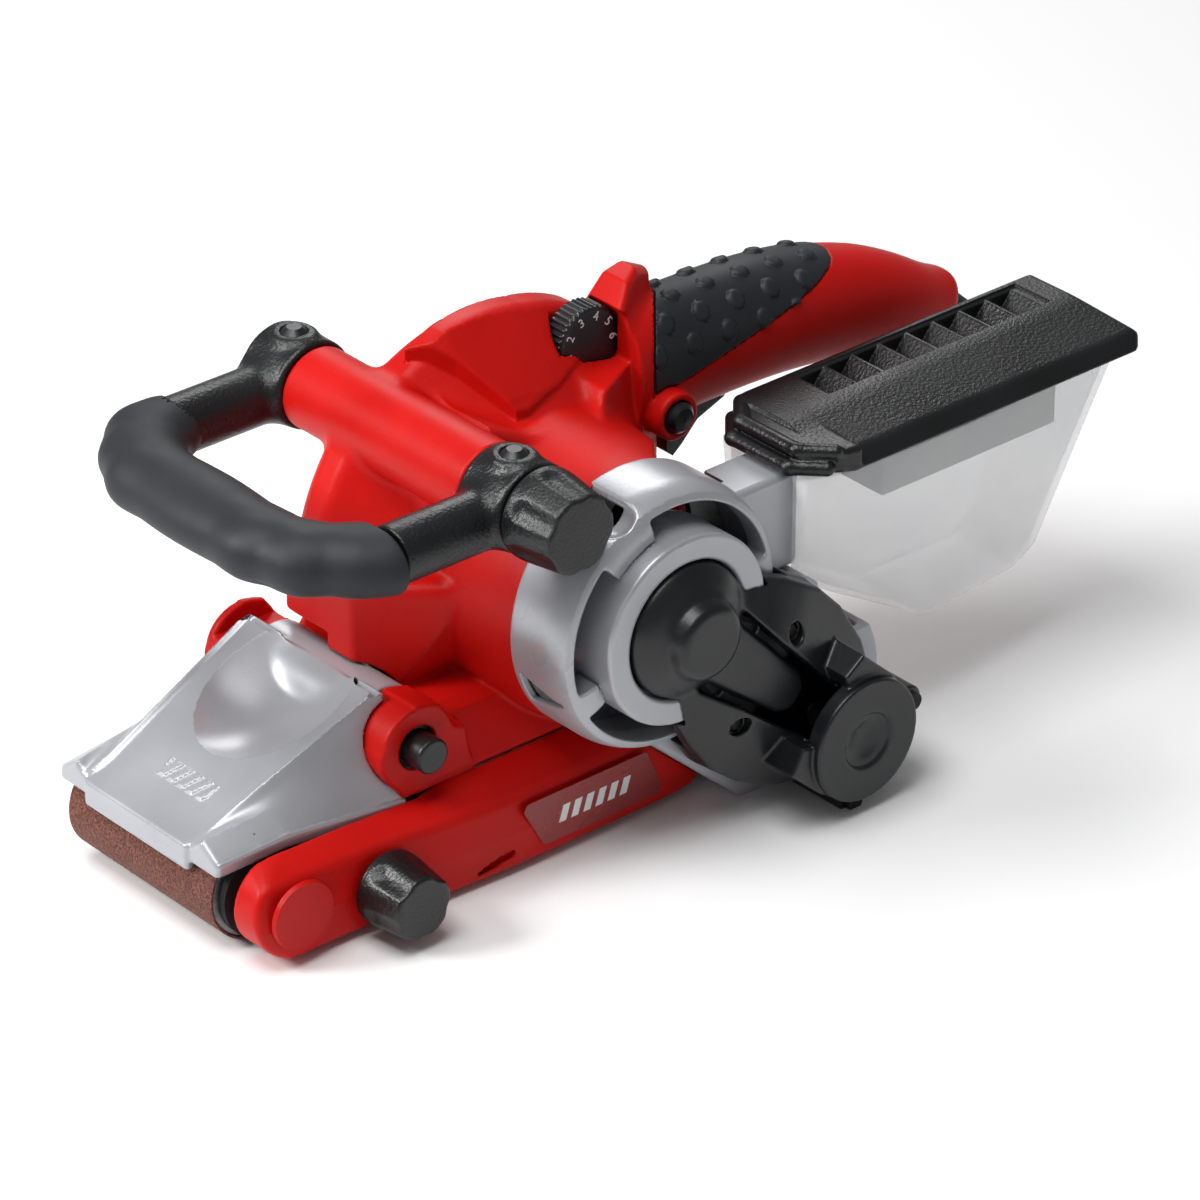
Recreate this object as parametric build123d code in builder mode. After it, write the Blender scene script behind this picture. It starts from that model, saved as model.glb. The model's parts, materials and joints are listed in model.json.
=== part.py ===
from build123d import *

import os
from math import cos, hypot, radians, sin

# Handheld belt sander, in millimetres.
# +X points to the rear of the tool, +Z up, and -Y is the side of the drive cover and knobs.
# The origin is the centre of the flat sanding face, half way between the two belt rollers.

# ---------------------------------------------------------------- driving dimensions
BELT_WIDTH = 75.0           # standard 75 x 533 mm sanding belt
BELT_THICK = 0.8
FIT = 0.3                   # air between faces of different moving bodies
RUN = 0.05                  # radial play of a shaft in its bearing
DRUM_RADIUS = 26.4
ROLLER_RADIUS = 17.6
AXLE_SPACING = 197.2        # with the two radii this gives a 533 mm belt
WALL = 2.6                  # moulded housing wall

BELT_HALF = BELT_WIDTH / 2
DRUM_RIM = DRUM_RADIUS + FIT + BELT_THICK
ROLLER_RIM = ROLLER_RADIUS + FIT + BELT_THICK
DRUM = (AXLE_SPACING / 2, DRUM_RIM)
ROLLER = (-AXLE_SPACING / 2, ROLLER_RIM)
MOTOR = (39.0, 82.0)        # the motor lies across the tool
TUBE = (-6.0, 133.0)        # cross tube that carries the front handle
HINGE = (-39.0, 50.0)       # hinge of the nose cover
KNOB = (-65.0, 16.0)        # tracking knob
DIAL = (70.5, 141.5)        # speed dial
DIAL_RADIUS = 13.3
LOCK = (93.0, 114.0)        # lock-on button
TRIGGER_PIVOT = (125.0, 107.0)

RING_Y = -54.0              # where the silver end ring meets the red housing
CASE_Y = -75.0              # near face of the drive housing
COVER_Y = -91.0             # near face of the drive cover
ARM_Y = -46.3               # inner face of the red side arm
ARM_FACE = -63.8            # outer face of the side arm at the label
SIDE_Y = -42.0              # near side plate of the chassis
EAR_RADIUS = 14.5           # round ends of the nose cover's hinge
SCREW_Y = 55.5              # how far out the front handle's two screws sit

DRUM_CASE = 37.0            # radius of the drive housing about the drum axis
BAIL_HALF = 56.0            # half the distance between the front handle's arms
BAIL_Z = 131.0
GRIP_X = -82.0

BOX_TOP_Z = 107.0
LID_TOP_Z = 118.0
BOX_BOTTOM_Z = 46.0

case_rounds = [(MOTOR, 38.0), (DRUM, DRUM_CASE)]

SPEED_RATIO = 2.5           # toothed belt reduction
PINION_RADIUS = 8.0
PULLEY_RADIUS = PINION_RADIUS * SPEED_RATIO
TEETH_THICK = 1.8


# ---------------------------------------------------------------- helpers
def across(y):
    """Sketch plane that looks from the near side, at the given y."""
    return Plane.XZ.offset(-y)


def bar(centre, radius, far, near, mode=Mode.ADD):
    """Round bar along Y, from y = far to y = near."""
    with BuildSketch(across(far)) as section:
        with Locations(centre):
            Circle(radius)
    extrude(section.sketch, amount=far - near, mode=mode)


def tube(centre, outer, inner, far, near):
    """Round tube along Y."""
    with BuildSketch(across(far)) as section:
        with Locations(centre):
            Circle(outer)
            Circle(inner, mode=Mode.SUBTRACT)
    extrude(section.sketch, amount=far - near)


def slab(points, far, near, mode=Mode.ADD):
    """Outline given in X and Z, extruded from y = far to y = near."""
    with BuildSketch(across(far)) as section:
        with BuildLine():
            Polyline(*points, close=True)
        make_face()
    extrude(section.sketch, amount=far - near, mode=mode)


def band(rounds, grow, far, near, mode=Mode.ADD):
    """Hull of circles given as (centre, radius), grown and extruded along Y."""
    with BuildSketch(across(far)) as section:
        for centre, radius in rounds:
            with Locations(centre):
                Circle(radius + grow)
        make_hull()
    extrude(section.sketch, amount=far - near, mode=mode)


def block(x_span, y_span, z_span, mode=Mode.ADD):
    """Box between two x, two y and two z values."""
    spans = (x_span, y_span, z_span)
    middle = tuple(sum(span) / 2 for span in spans)
    with Locations(middle):
        Box(*(abs(span[1] - span[0]) for span in spans), mode=mode)


def turned(centre, points, mode=Mode.ADD):
    """Closed profile of (radius, y) points, turned about the Y axis through centre."""
    x, z = centre
    with BuildSketch(Plane((x, 0, z))) as section:
        with BuildLine():
            Polyline(*points, close=True)
        make_face()
    revolve(section.sketch, axis=Axis((x, 0, z), (0, 1, 0)), mode=mode)


def around(centre, radius, angles):
    """Points on a circle in X and Z, at angles in degrees."""
    return [
        (centre[0] + radius * cos(radians(a)), centre[1] + radius * sin(radians(a)))
        for a in angles
    ]


def coil(start, direction, radius, wire, pitch, turns, mode=Mode.ADD):
    """Helical spring from start along direction."""
    with BuildLine() as path:
        Helix(pitch=pitch, height=pitch * turns, radius=radius, center=start, direction=direction)
    with BuildSketch(Plane(path.line @ 0, z_dir=path.line % 0)) as section:
        Circle(wire / 2)
    sweep(section.sketch, path=path.line, mode=mode)


def loft_x(stations, mode=Mode.ADD):
    """Loft of ellipses on planes square to X: (x, y, z, half width, half height)."""
    sections = []
    for x, y, z, half_width, half_height in stations:
        with BuildSketch(Plane((x, y, z), x_dir=(0, 1, 0), z_dir=(1, 0, 0))) as section:
            Ellipse(half_width, half_height)
        sections.append(section.sketch)
    loft(sections, mode=mode)


pieces = {}


def keep(label, piece):
    """Remember a finished piece under the name of its node."""
    piece.part.label = label
    pieces[label] = piece.part


# ---------------------------------------------------------------- belt run
belt_rounds = [(DRUM, DRUM_RADIUS), (ROLLER, ROLLER_RADIUS)]

with BuildPart() as sanding_belt:
    band(belt_rounds, FIT + BELT_THICK, BELT_HALF, -BELT_HALF)
    band(belt_rounds, FIT, BELT_HALF, -BELT_HALF, Mode.SUBTRACT)
keep("sanding_belt", sanding_belt)

# Rubber-faced drive drum, with a web at its near end and an open far end.
DRUM_HALF = BELT_HALF - 0.5
SHAFT_RADIUS = 6.0
with BuildPart() as rear_drum:
    bar(DRUM, DRUM_RADIUS - 2.4, DRUM_HALF, -DRUM_HALF)
    bar(DRUM, DRUM_RADIUS - 6.0, DRUM_HALF, -DRUM_HALF + 12, Mode.SUBTRACT)
    bar(DRUM, SHAFT_RADIUS + 5, 20, -DRUM_HALF + 12)
    bar(DRUM, SHAFT_RADIUS, DRUM_HALF, -DRUM_HALF, Mode.SUBTRACT)
keep("rear_drum", rear_drum)

with BuildPart() as drum_tyre:
    tube(DRUM, DRUM_RADIUS, DRUM_RADIUS - 2.4, DRUM_HALF, -DRUM_HALF)
keep("drum_tyre", drum_tyre)

with BuildPart() as drum_shaft:
    bar(DRUM, SHAFT_RADIUS, 24, -70)
    bar(DRUM, SHAFT_RADIUS - 1.5, -70, -85.5)
keep("drum_shaft", drum_shaft)

with BuildPart() as drum_bearings:
    for far in (-47, -61):
        tube(DRUM, 13, SHAFT_RADIUS + RUN, far, far - 7)
keep("drum_bearings", drum_bearings)

AXLE_RADIUS = 4.0
ROLLER_HALF = BELT_HALF - 0.7
with BuildPart() as front_roller:
    bar(ROLLER, ROLLER_RADIUS, ROLLER_HALF, -ROLLER_HALF)
    bar(ROLLER, 9.0, ROLLER_HALF, -ROLLER_HALF, Mode.SUBTRACT)
    for far in (ROLLER_HALF, -ROLLER_HALF + 3):
        with BuildSketch(across(far)) as groove:
            with Locations(ROLLER):
                Circle(ROLLER_RADIUS - 2.5)
                Circle(11.0, mode=Mode.SUBTRACT)
        extrude(groove.sketch, amount=3, mode=Mode.SUBTRACT)
keep("front_roller", front_roller)

with BuildPart() as roller_bushes:
    for far in (ROLLER_HALF, -ROLLER_HALF + 12):
        tube(ROLLER, 9.0, AXLE_RADIUS + RUN, far, far - 12)
keep("roller_bushes", roller_bushes)

with BuildPart() as roller_axle:
    bar(ROLLER, AXLE_RADIUS, 41.2, -56)
keep("roller_axle", roller_axle)

# Sliding fork that carries the front roller; its stem runs in the chassis.
FORK_IN = 38.2
FORK_OUT = 41.2
STEM_END = -46.0
with BuildPart() as roller_fork:
    for far, near, reach in ((FORK_OUT, FORK_IN, 12.0), (-FORK_IN, -FORK_OUT, 16.2)):
        band([(ROLLER, reach), ((ROLLER[0] + 24, ROLLER[1]), 6.5)], 0, far, near)
    block((-76, -69), (-FORK_OUT, FORK_OUT), (12.5, 25))
    block((-70, STEM_END), (-8, 8), (12.5, 25))
    bar(ROLLER, AXLE_RADIUS, 60, -60, Mode.SUBTRACT)
keep("roller_fork", roller_fork)

SPRING_RADIUS = 4.6
with BuildPart() as tension_spring:
    coil((STEM_END + 0.9, 0, 18.75), (1, 0, 0), SPRING_RADIUS, 1.4, 3.2, 6)
keep("tension_spring", tension_spring)

# ---------------------------------------------------------------- chassis and sole
PAD_Z = BELT_THICK + FIT
SOLE_X = (-72.0, 64.0)
with BuildPart() as sole_pad:
    block(SOLE_X, (-36, 36), (PAD_Z, PAD_Z + 1.6))
keep("sole_pad", sole_pad)

with BuildPart() as sole_plate:
    block((SOLE_X[0], SOLE_X[1] - 2), (-36, 36), (PAD_Z + 1.6, PAD_Z + 2.8))
keep("sole_plate", sole_plate)

LEVER_PIN = (-30.0, 37.0)
CORE_Z = (PAD_Z + 2.8, 32.0)
with BuildPart() as chassis:
    block((-64, 58), (SIDE_Y, 34), CORE_Z)
    slab([(-76, 4), (64, 4), (72, 33.5), (-28, 33.5), (-34, 20), (-76, 20)], SIDE_Y, -46)
    for x_span in ((-14, 20), (24, 54)):
        block(x_span, (-36, 30), (CORE_Z[0] + 4, 40), Mode.SUBTRACT)
    # Slot for the fork, with room for it to draw back.
    block((-80, -60.5), (-41.6, 60), (11, 40), Mode.SUBTRACT)
    block((-64, -38), (-8.4, 8.4), (12, 26), Mode.SUBTRACT)
    with Locations(Plane((-40, 0, 18.75), z_dir=(1, 0, 0))):
        Cylinder(5.9, 23, align=(Align.CENTER, Align.CENTER, Align.MIN), mode=Mode.SUBTRACT)
    # Lugs for the release lever's pin.
    block((-39, 54), (34.5, 30.0), (8, 33), Mode.SUBTRACT)
    for z in (8.5, 25.5):
        block((-38, -22), (29, 41.5), (z, z + 3))
    with BuildSketch(Plane((LEVER_PIN[0], LEVER_PIN[1], 0))) as pin_hole:
        Circle(2.5)
    extrude(pin_hole.sketch, amount=40, mode=Mode.SUBTRACT)
    bar(DRUM, DRUM_RIM + 2, 60, -41.5, Mode.SUBTRACT)
    bar(DRUM, DRUM_CASE + 1, -40, -60, Mode.SUBTRACT)
keep("chassis", chassis)

# Belt release lever on the far side, swinging out about an upright pin.
with BuildPart() as lever_pin:
    with BuildSketch(Plane((LEVER_PIN[0], LEVER_PIN[1], 10))):
        Circle(2.5)
    extrude(amount=19)
keep("lever_pin", lever_pin)

with BuildPart() as release_lever:
    with BuildSketch(Plane.XY.offset(12)):
        with Locations(LEVER_PIN):
            Circle(4.5)
        with BuildLine():
            Polyline((-30, 41.3), (-30, 37), (44, 37.5), (48, 39.5), (46, 42), close=True)
        make_face()
        with Locations(LEVER_PIN):
            Circle(2.5 + RUN, mode=Mode.SUBTRACT)
    extrude(amount=13)
keep("release_lever", release_lever)

# ---------------------------------------------------------------- red side arm
# Plan of the arm's bowed outer face, then its side view.
with BuildPart() as side_arm:
    with BuildSketch(Plane.XY):
        with BuildLine():
            Polyline((-114.8, -45), (-114.8, -57), (-111.8, -60), (-80, -60))
            Polyline((-80, -60), (-52, -61.5), (-14, ARM_FACE), (54, ARM_FACE), (78, -61))
            Polyline((78, -61), (78, ARM_Y), (-78, ARM_Y), (-78, -45), (-114.8, -45))
        make_face()
    extrude(amount=60)
    with BuildSketch(across(0)) as side_view:
        with BuildLine():
            tip = (ROLLER[0], ROLLER[1] + 16)
            foot = (ROLLER[0], ROLLER[1] - 16)
            ThreePointArc(tip, (ROLLER[0] - 16, ROLLER[1]), foot)
            Polyline(foot, (64, 2.7), (70, 8), (78, 34), (-30, 34), (-40, 31.5), tip)
        make_face()
    extrude(side_view.sketch, amount=100, mode=Mode.INTERSECT)
    # Sloping shoulder along the top.
    with BuildSketch(Plane.YZ.offset(-30)) as shoulder:
        with BuildLine():
            Polyline((-48, 35), (-80, 35), (-80, 16), (-58, 29), close=True)
        make_face()
    extrude(shoulder.sketch, amount=120, mode=Mode.SUBTRACT)
    # Hollow inside, room for the axle's end and the tracking screw.
    slab([(-58, 7), (60, 7), (66, 24), (-58, 24)], ARM_Y + 1, -58.5, Mode.SUBTRACT)
    band([((ROLLER[0] - 1, ROLLER[1]), 5), ((ROLLER[0] + 8, ROLLER[1]), 5)], 0, -40, -57,
         Mode.SUBTRACT)
    bar(KNOB, 14, -60, -70, Mode.SUBTRACT)
    bar(KNOB, 3.0, -40, -70, Mode.SUBTRACT)
    band(case_rounds, 0.3, -40, -80, Mode.SUBTRACT)
keep("side_arm", side_arm)

with BuildPart() as front_cap:
    with BuildSketch(across(-60)):
        with Locations(ROLLER):
            Circle(12)
    extrude(amount=1.6, taper=15)
keep("front_cap", front_cap)

with BuildPart() as tracking_screw:
    bar(KNOB, 2.9, -47, -74)
keep("tracking_screw", tracking_screw)


def fluted_knob(centre, far, near, base, tip, flutes, bore):
    """Tapered hand knob along -Y, with round flutes between its lobes."""
    turned(centre, [(0, far), (base, far), (base, far - 3), (tip, near + 1.5),
                    (tip - 1.5, near), (0, near)])
    x, z = centre
    for i in range(flutes):
        angle = radians(360 / flutes * i + 30)
        with Locations(Location((x + (base + 4.2) * cos(angle), near, z + (base + 4.2) * sin(angle)),
                                (90, 0, 0))):
            Cone(6.2, 8.6, (far - 3) - near, align=(Align.CENTER, Align.CENTER, Align.MAX),
                 mode=Mode.SUBTRACT)
    bar(centre, bore, far, near + 5, Mode.SUBTRACT)


with BuildPart() as tracking_knob:
    fluted_knob(KNOB, -61.0, -80.0, 12.0, 9.6, 5, 2.95)
keep("tracking_knob", tracking_knob)

with BuildPart() as label_plate:
    slab([(-12, 25), (42, 25), (50, 7), (-2, 7)], ARM_FACE, ARM_FACE - 0.6)
    fillet(label_plate.edges().filter_by(Axis.Y), 2.5)
keep("label_plate", label_plate)

# ---------------------------------------------------------------- red main housing
FAR_END_Y = 58.0
TUNNEL = [(-130, -5), (-130, 40.2), (DRUM[0], 2 * DRUM_RIM + 3), (140, 2 * DRUM_RIM + 3), (140, -5)]
BODY_RADIUS = 75.0
NECK_RADIUS = 50.0
BARREL_RADIUS = 46.0
FAR_RADIUS = 37.0


def motor_shell(inset):
    """Round body about the motor axis: far barrel, wide rim and near barrel."""
    turned(MOTOR, [
        (0, FAR_END_Y - inset), (31 - inset, FAR_END_Y - inset),
        (FAR_RADIUS - inset, 53 - inset / 2), (FAR_RADIUS - inset, 46),
        (BODY_RADIUS - 6 - inset, 26 - inset), (BODY_RADIUS - inset, 20 - inset / 2),
        (BODY_RADIUS - inset, 10 + inset / 2), (NECK_RADIUS - inset, -15 + inset / 2),
        (BARREL_RADIUS - inset, RING_Y), (0, RING_Y),
    ], Mode.SUBTRACT if inset else Mode.ADD)


RUBBER_THICK = 2.0          # soft cover over the top of the rear handle
GLAND_PLANE = Plane((230, 0, 104), z_dir=(0.8, 0, -0.6))
HANDLE = [
    (92, 0, 127.0, 16.5, 22.0),
    (120, 0, 126.5, 17.0, 21.5),
    (150, 0, 125.5, 17.5, 21.0),
    (180, 0, 121.0, 17.5, 20.0),
    (208, 0, 112.0, 16.5, 18.5),
    (232, 0, 100.0, 13.0, 15.5),
]


def handle(inset, mode=Mode.ADD):
    """Arched rear handle."""
    loft_x([(x, y, z, w - inset, h - inset) for x, y, z, w, h in HANDLE], mode)


# Housing screws: place, and how far out the far and near halves' bosses reach.
SCREWS = [((24, 130), 36, -11), ((-4, 107), 36, -11), ((160, 124), 16, -14), ((208, 111), 15, -13)]

with BuildPart() as housing:
    motor_shell(0)
    # Lower block over the belt, and the shoulder that meets the side arm.
    slab([(-24, 40), (-24, 62), (-34, 84), (80, 84), (96, 70), (96, 40)], 40, -34)
    slab([(-24, 34), (-24, 60), (6, 62), (74, 62), (80, 34)], -34, -46)
    # Ears of the nose cover's hinge.
    for far, near in ((47, 29), (-29, -46)):
        bar(HINGE, EAR_RADIUS, far, near)
        slab([(-39, 36), (-39, 64.5), (-22, 63), (-10, 40)], far, near)
    block((-24, -8), (-46, 47), (42, 62.5))
    # Cross tube and crest behind the speed dial.
    bar(TUBE, 14.4, 44.5, -44.5)
    slab([(-6, 100), (-12, 122), (10, 140), (40, 120)], 12, -16)
    slab([(60, 130), (80, 152), (85, 161), (90, 162.5), (97, 160), (101, 150), (101, 96), (80, 90)],
         16, -20)
    bar(LOCK, 8.2, 0, -20.5)
    handle(0)
    # Hollow inside.
    motor_shell(WALL)
    slab([(-21, 40), (-21, 62), (-29, 80), (80, 80), (93, 70), (93, 40)], 37, -31, Mode.SUBTRACT)
    block((78, 98.5), (-13.5, 13.5), (92, 148), Mode.SUBTRACT)
    block((74, 80), (-6, 6), (126, 134), Mode.SUBTRACT)
    handle(WALL + RUBBER_THICK, Mode.SUBTRACT)
    bar(LOCK, 5.9, 0, -40, Mode.SUBTRACT)
    bar(TUBE, 4.5, 60, -60, Mode.SUBTRACT)
    # Open below for the belt, and clear of the hinge barrel.
    slab(TUNNEL, 80, -41, Mode.SUBTRACT)
    bar(HINGE, EAR_RADIUS + 0.8, 28.8, -28.8, Mode.SUBTRACT)
    bar(HINGE, 5.0 + RUN, 70, -70, Mode.SUBTRACT)
    bar(HINGE, 8.0, -43, -60, Mode.SUBTRACT)
    # Openings for the dial, the trigger and the cord gland.
    with Locations(GLAND_PLANE):
        Cylinder(6.8, 24, mode=Mode.SUBTRACT)
    bar(DIAL, DIAL_RADIUS + 0.5, 6.5, -4.2, Mode.SUBTRACT)
    bar(DIAL, 3.0, 20, 0, Mode.SUBTRACT)
    block((57.5, 74.5), (8.2, 20), (123.5, 144.4), Mode.SUBTRACT)
    bar(TRIGGER_PIVOT, 1.5, 8, -8, Mode.SUBTRACT)
    block((100.2, 128.4), (-5.9, 5.9), (80, 113.4), Mode.SUBTRACT)
    # Bosses for the housing screws.
    for centre, head_y, end_y in SCREWS:
        bar(centre, 5.0, head_y, end_y)
        bar(centre, 3.6, head_y + 40, head_y - 4, Mode.SUBTRACT)
        bar(centre, 1.6, head_y, -9, Mode.SUBTRACT)
    # Seat of the motor's far bearing.
    tube(MOTOR, 11.5, 8.0, 56, 44)
    # Floor over the belt.
    slab([(-24, 46.5), (-24, 51), (96, 60.3), (96, 56)], 38, -33)
    # Cooling slots in the far end.
    for x, z in around(MOTOR, 23, range(0, 360, 30)):
        with Locations((x, FAR_END_Y, z)):
            Box(5, 12, 9, mode=Mode.SUBTRACT)
    bar(DRUM, DRUM_CASE + 0.3, -41, -60, Mode.SUBTRACT)

RUBBER_LINE = [(86, 119), (183, 142.5), (186, 152), (100, 170), (86, 170)]
with BuildPart() as handle_overmould:
    handle(0)
    slab(RUBBER_LINE, 40, -40, Mode.INTERSECT)
    handle(RUBBER_THICK, Mode.SUBTRACT)
    block((80, 101.2), (-40, 40), (80, 170), Mode.SUBTRACT)
keep("handle_overmould", handle_overmould)

with BuildPart() as shell:
    add(housing.part)
    add(handle_overmould.part, mode=Mode.SUBTRACT)
    add(side_arm.part, mode=Mode.SUBTRACT)

with BuildPart() as housing_near:
    add(shell.part)
    split(bisect_by=Plane.XZ, keep=Keep.TOP)
keep("housing_near", housing_near)

with BuildPart() as housing_far:
    add(shell.part)
    split(bisect_by=Plane.XZ, keep=Keep.BOTTOM)
keep("housing_far", housing_far)

with BuildPart() as housing_screws:
    for centre, head_y, _ in SCREWS:
        bar(centre, 3.4, head_y - 1, head_y - 4)
        bar(centre, 1.55, head_y - 4, -8)
keep("housing_screws", housing_screws)

with BuildPart() as cord_gland:
    with Locations(GLAND_PLANE):
        Cylinder(6.6, 8)
        Cone(6.6, 4.6, 22, align=(Align.CENTER, Align.CENTER, Align.MIN))
        Cylinder(3.4, 60, mode=Mode.SUBTRACT)
keep("cord_gland", cord_gland)

# ---------------------------------------------------------------- controls
with BuildPart() as speed_dial:
    bar(DIAL, DIAL_RADIUS, 5.5, -3.5)
    bar(DIAL, 2.0, 18, 5)
keep("speed_dial", speed_dial)

with BuildPart() as speed_module:
    block((58, 74), (8.5, 19.5), (124, 143.9))
    bar(DIAL, 2.0 + RUN, 30, 0, Mode.SUBTRACT)
keep("speed_module", speed_module)

with BuildPart() as switch_block:
    block((104, 148), (-7, 7), (117, 131))
keep("switch_block", switch_block)

with BuildPart() as trigger:
    slab([(102.5, 91), (105, 88.8), (109, 92), (116, 99), (128, 103.5), (128, 110), (102.5, 110)],
         5.5, -5.5)
    bar(TRIGGER_PIVOT, 1.5 + RUN, 8, -8, Mode.SUBTRACT)
keep("trigger", trigger)

with BuildPart() as trigger_pin:
    bar(TRIGGER_PIVOT, 1.5, 8, -8)
keep("trigger_pin", trigger_pin)

with BuildPart() as trigger_spring:
    coil((107, 0, 110.4), (0, 0, 1), 2.6, 0.7, 1.1, 5)
keep("trigger_spring", trigger_spring)

with BuildPart() as lock_button:
    turned(LOCK, [(0, -10), (5.5, -10), (5.5, -23), (4, -24.6), (0, -25.2)])
keep("lock_button", lock_button)

# ---------------------------------------------------------------- motor
CORE_RADIUS = 15.4
STATOR_RADIUS = 25.8
with BuildPart() as rotor_shaft:
    bar(MOTOR, 4.0, 53, -85.5)
keep("rotor_shaft", rotor_shaft)

with BuildPart() as rotor_core:
    tube(MOTOR, CORE_RADIUS, 4.0, 20, -22)
    for x, z in around(MOTOR, CORE_RADIUS, range(0, 360, 30)):
        bar((x, z), 1.4, 20, -22, Mode.SUBTRACT)
keep("rotor_core", rotor_core)

with BuildPart() as rotor_windings:
    for far, near in ((27, 20), (-22, -29)):
        tube(MOTOR, 13, 4.0, far, near)
keep("rotor_windings", rotor_windings)

with BuildPart() as commutator:
    tube(MOTOR, 11, 4.0, 42, 29)
    for x, z in around(MOTOR, 11, range(0, 360, 15)):
        bar((x, z), 0.4, 42, 31, Mode.SUBTRACT)
keep("commutator", commutator)

FAN_RADIUS = 31.0
with BuildPart() as motor_fan:
    bar(MOTOR, FAN_RADIUS, -41.5, -43.5)
    bar(MOTOR, 8.0, -41.5, -52)
    with Locations(*(Location((MOTOR[0], -48, MOTOR[1]), (0, a, 0)) for a in range(0, 360, 36))):
        with Locations((18.5, 0, 0)):
            Box(23, 9, 1.6)
    bar(MOTOR, 4.0, 0, -60, Mode.SUBTRACT)
keep("motor_fan", motor_fan)

with BuildPart() as stator:
    tube(MOTOR, STATOR_RADIUS, STATOR_RADIUS - 4, 24, -26)
    for side in (90, 270):
        with BuildSketch(across(24)) as pole:
            with Locations(MOTOR):
                Circle(STATOR_RADIUS - 3.5)
                Circle(CORE_RADIUS + 0.5, mode=Mode.SUBTRACT)
            with Locations(*around(MOTOR, 19, [side])):
                Rectangle(28, 13, mode=Mode.INTERSECT)
        extrude(pole.sketch, amount=50)
keep("stator", stator)

with BuildPart() as motor_bearings:
    tube(MOTOR, 8.0, 4.0 + RUN, 53, 46)
    tube(MOTOR, 11.0, 4.0 + RUN, -58, -66)
keep("motor_bearings", motor_bearings)

with BuildPart() as bearing_shield:
    tube(MOTOR, 43.5, 11.0, -54.4, -57.4)
    tube(MOTOR, 15.0, 11.0, -57.4, -66)
    for x, z in around(MOTOR, 29, range(0, 360, 45)):
        bar((x, z), 7.5, -50, -60, Mode.SUBTRACT)
keep("bearing_shield", bearing_shield)

with BuildPart() as brush_holders:
    for side in (1, -1):
        x = MOTOR[0] + side * 21.5
        block((x - 9.5, x + 9.5), (31, 40), (MOTOR[1] - 6, MOTOR[1] + 6))
        block((x - 12, x + 12), (32, 39), (MOTOR[1] - 4, MOTOR[1] + 4), Mode.SUBTRACT)
keep("brush_holders", brush_holders)

with BuildPart() as carbon_brushes:
    for side in (1, -1):
        x = MOTOR[0] + side * 17.5
        block((x - 6, x + 6), (32.1, 38.9), (MOTOR[1] - 3.9, MOTOR[1] + 3.9))
keep("carbon_brushes", carbon_brushes)

# ---------------------------------------------------------------- toothed belt drive
BELT_FAR = -77.0
BELT_NEAR = -85.0
drive_rounds = [(MOTOR, PINION_RADIUS), (DRUM, PULLEY_RADIUS)]

with BuildPart() as drive_belt:
    band(drive_rounds, FIT + TEETH_THICK, BELT_FAR, BELT_NEAR)
    band(drive_rounds, FIT, BELT_FAR, BELT_NEAR, Mode.SUBTRACT)
keep("drive_belt", drive_belt)


def toothed_wheel(centre, radius, bore, teeth):
    """Timing pulley with a round groove between its teeth."""
    bar(centre, radius, BELT_FAR, BELT_NEAR)
    for x, z in around(centre, radius, [360 / teeth * i for i in range(teeth)]):
        bar((x, z), 0.7, BELT_FAR, BELT_NEAR, Mode.SUBTRACT)
    bar(centre, bore, BELT_FAR, BELT_NEAR, Mode.SUBTRACT)


with BuildPart() as drive_pinion:
    toothed_wheel(MOTOR, PINION_RADIUS, 4.0, 16)
keep("drive_pinion", drive_pinion)

with BuildPart() as driven_pulley:
    toothed_wheel(DRUM, PULLEY_RADIUS, SHAFT_RADIUS - 1.5, int(16 * SPEED_RATIO))
keep("driven_pulley", driven_pulley)

# ---------------------------------------------------------------- silver castings
RING_RADIUS = 46.5
WINDOWS = ((14, 104), (134, 198), (212, 288))
RING_SCREWS = around(MOTOR, 40.5, (83, 203, 323))
with BuildPart() as end_ring:
    turned(MOTOR, [
        (43.9, RING_Y), (RING_RADIUS, RING_Y), (RING_RADIUS, -75), (41.5, -82), (33, -84),
        (33, -86), (31, -88), (24.2, -88), (24.2, -79), (38, -79), (43.9, -73),
    ])
    for start, end in WINDOWS:
        arc = [start + (end - start) * i / 12 for i in range(13)]
        slab(around(MOTOR, 40.5, arc) + around(MOTOR, 34.2, arc[::-1]), -70, -90, Mode.SUBTRACT)
    for centre in RING_SCREWS:
        bar(centre, 4.4, RING_Y - 4, -72)
        bar(centre, 3.3, -66, -90, Mode.SUBTRACT)
        bar(centre, 1.7, -50, -80, Mode.SUBTRACT)
    band(drive_rounds, 3.6, -74, -90, Mode.SUBTRACT)
keep("end_ring", end_ring)

with BuildPart() as drive_housing:
    band(case_rounds, 0, ARM_Y - 0.2, CASE_Y)
    bar(DRUM, DRUM_CASE, -41.8, ARM_Y - 0.2)
    band(case_rounds, -3, ARM_Y - 3, CASE_Y + 3, Mode.SUBTRACT)
    bar(DRUM, 17, -44, CASE_Y)
    bar(DRUM, 13, -47, -68, Mode.SUBTRACT)
    bar(DRUM, 8, -40, -90, Mode.SUBTRACT)
    bar(MOTOR, 51.0, -40, RING_Y, Mode.SUBTRACT)
    bar(MOTOR, RING_RADIUS + 0.1, RING_Y, -90, Mode.SUBTRACT)
    block((60, 140), (-80, -40), (69, 100), Mode.SUBTRACT)
    # Step under the dust box.
    block((108, 140), (-80, -40), (44.5, 70), Mode.SUBTRACT)
keep("drive_housing", drive_housing)

# ---------------------------------------------------------------- black drive cover
along = ((DRUM[0] - MOTOR[0]) / hypot(DRUM[0] - MOTOR[0], DRUM[1] - MOTOR[1]),
         (DRUM[1] - MOTOR[1]) / hypot(DRUM[0] - MOTOR[0], DRUM[1] - MOTOR[1]))


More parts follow.
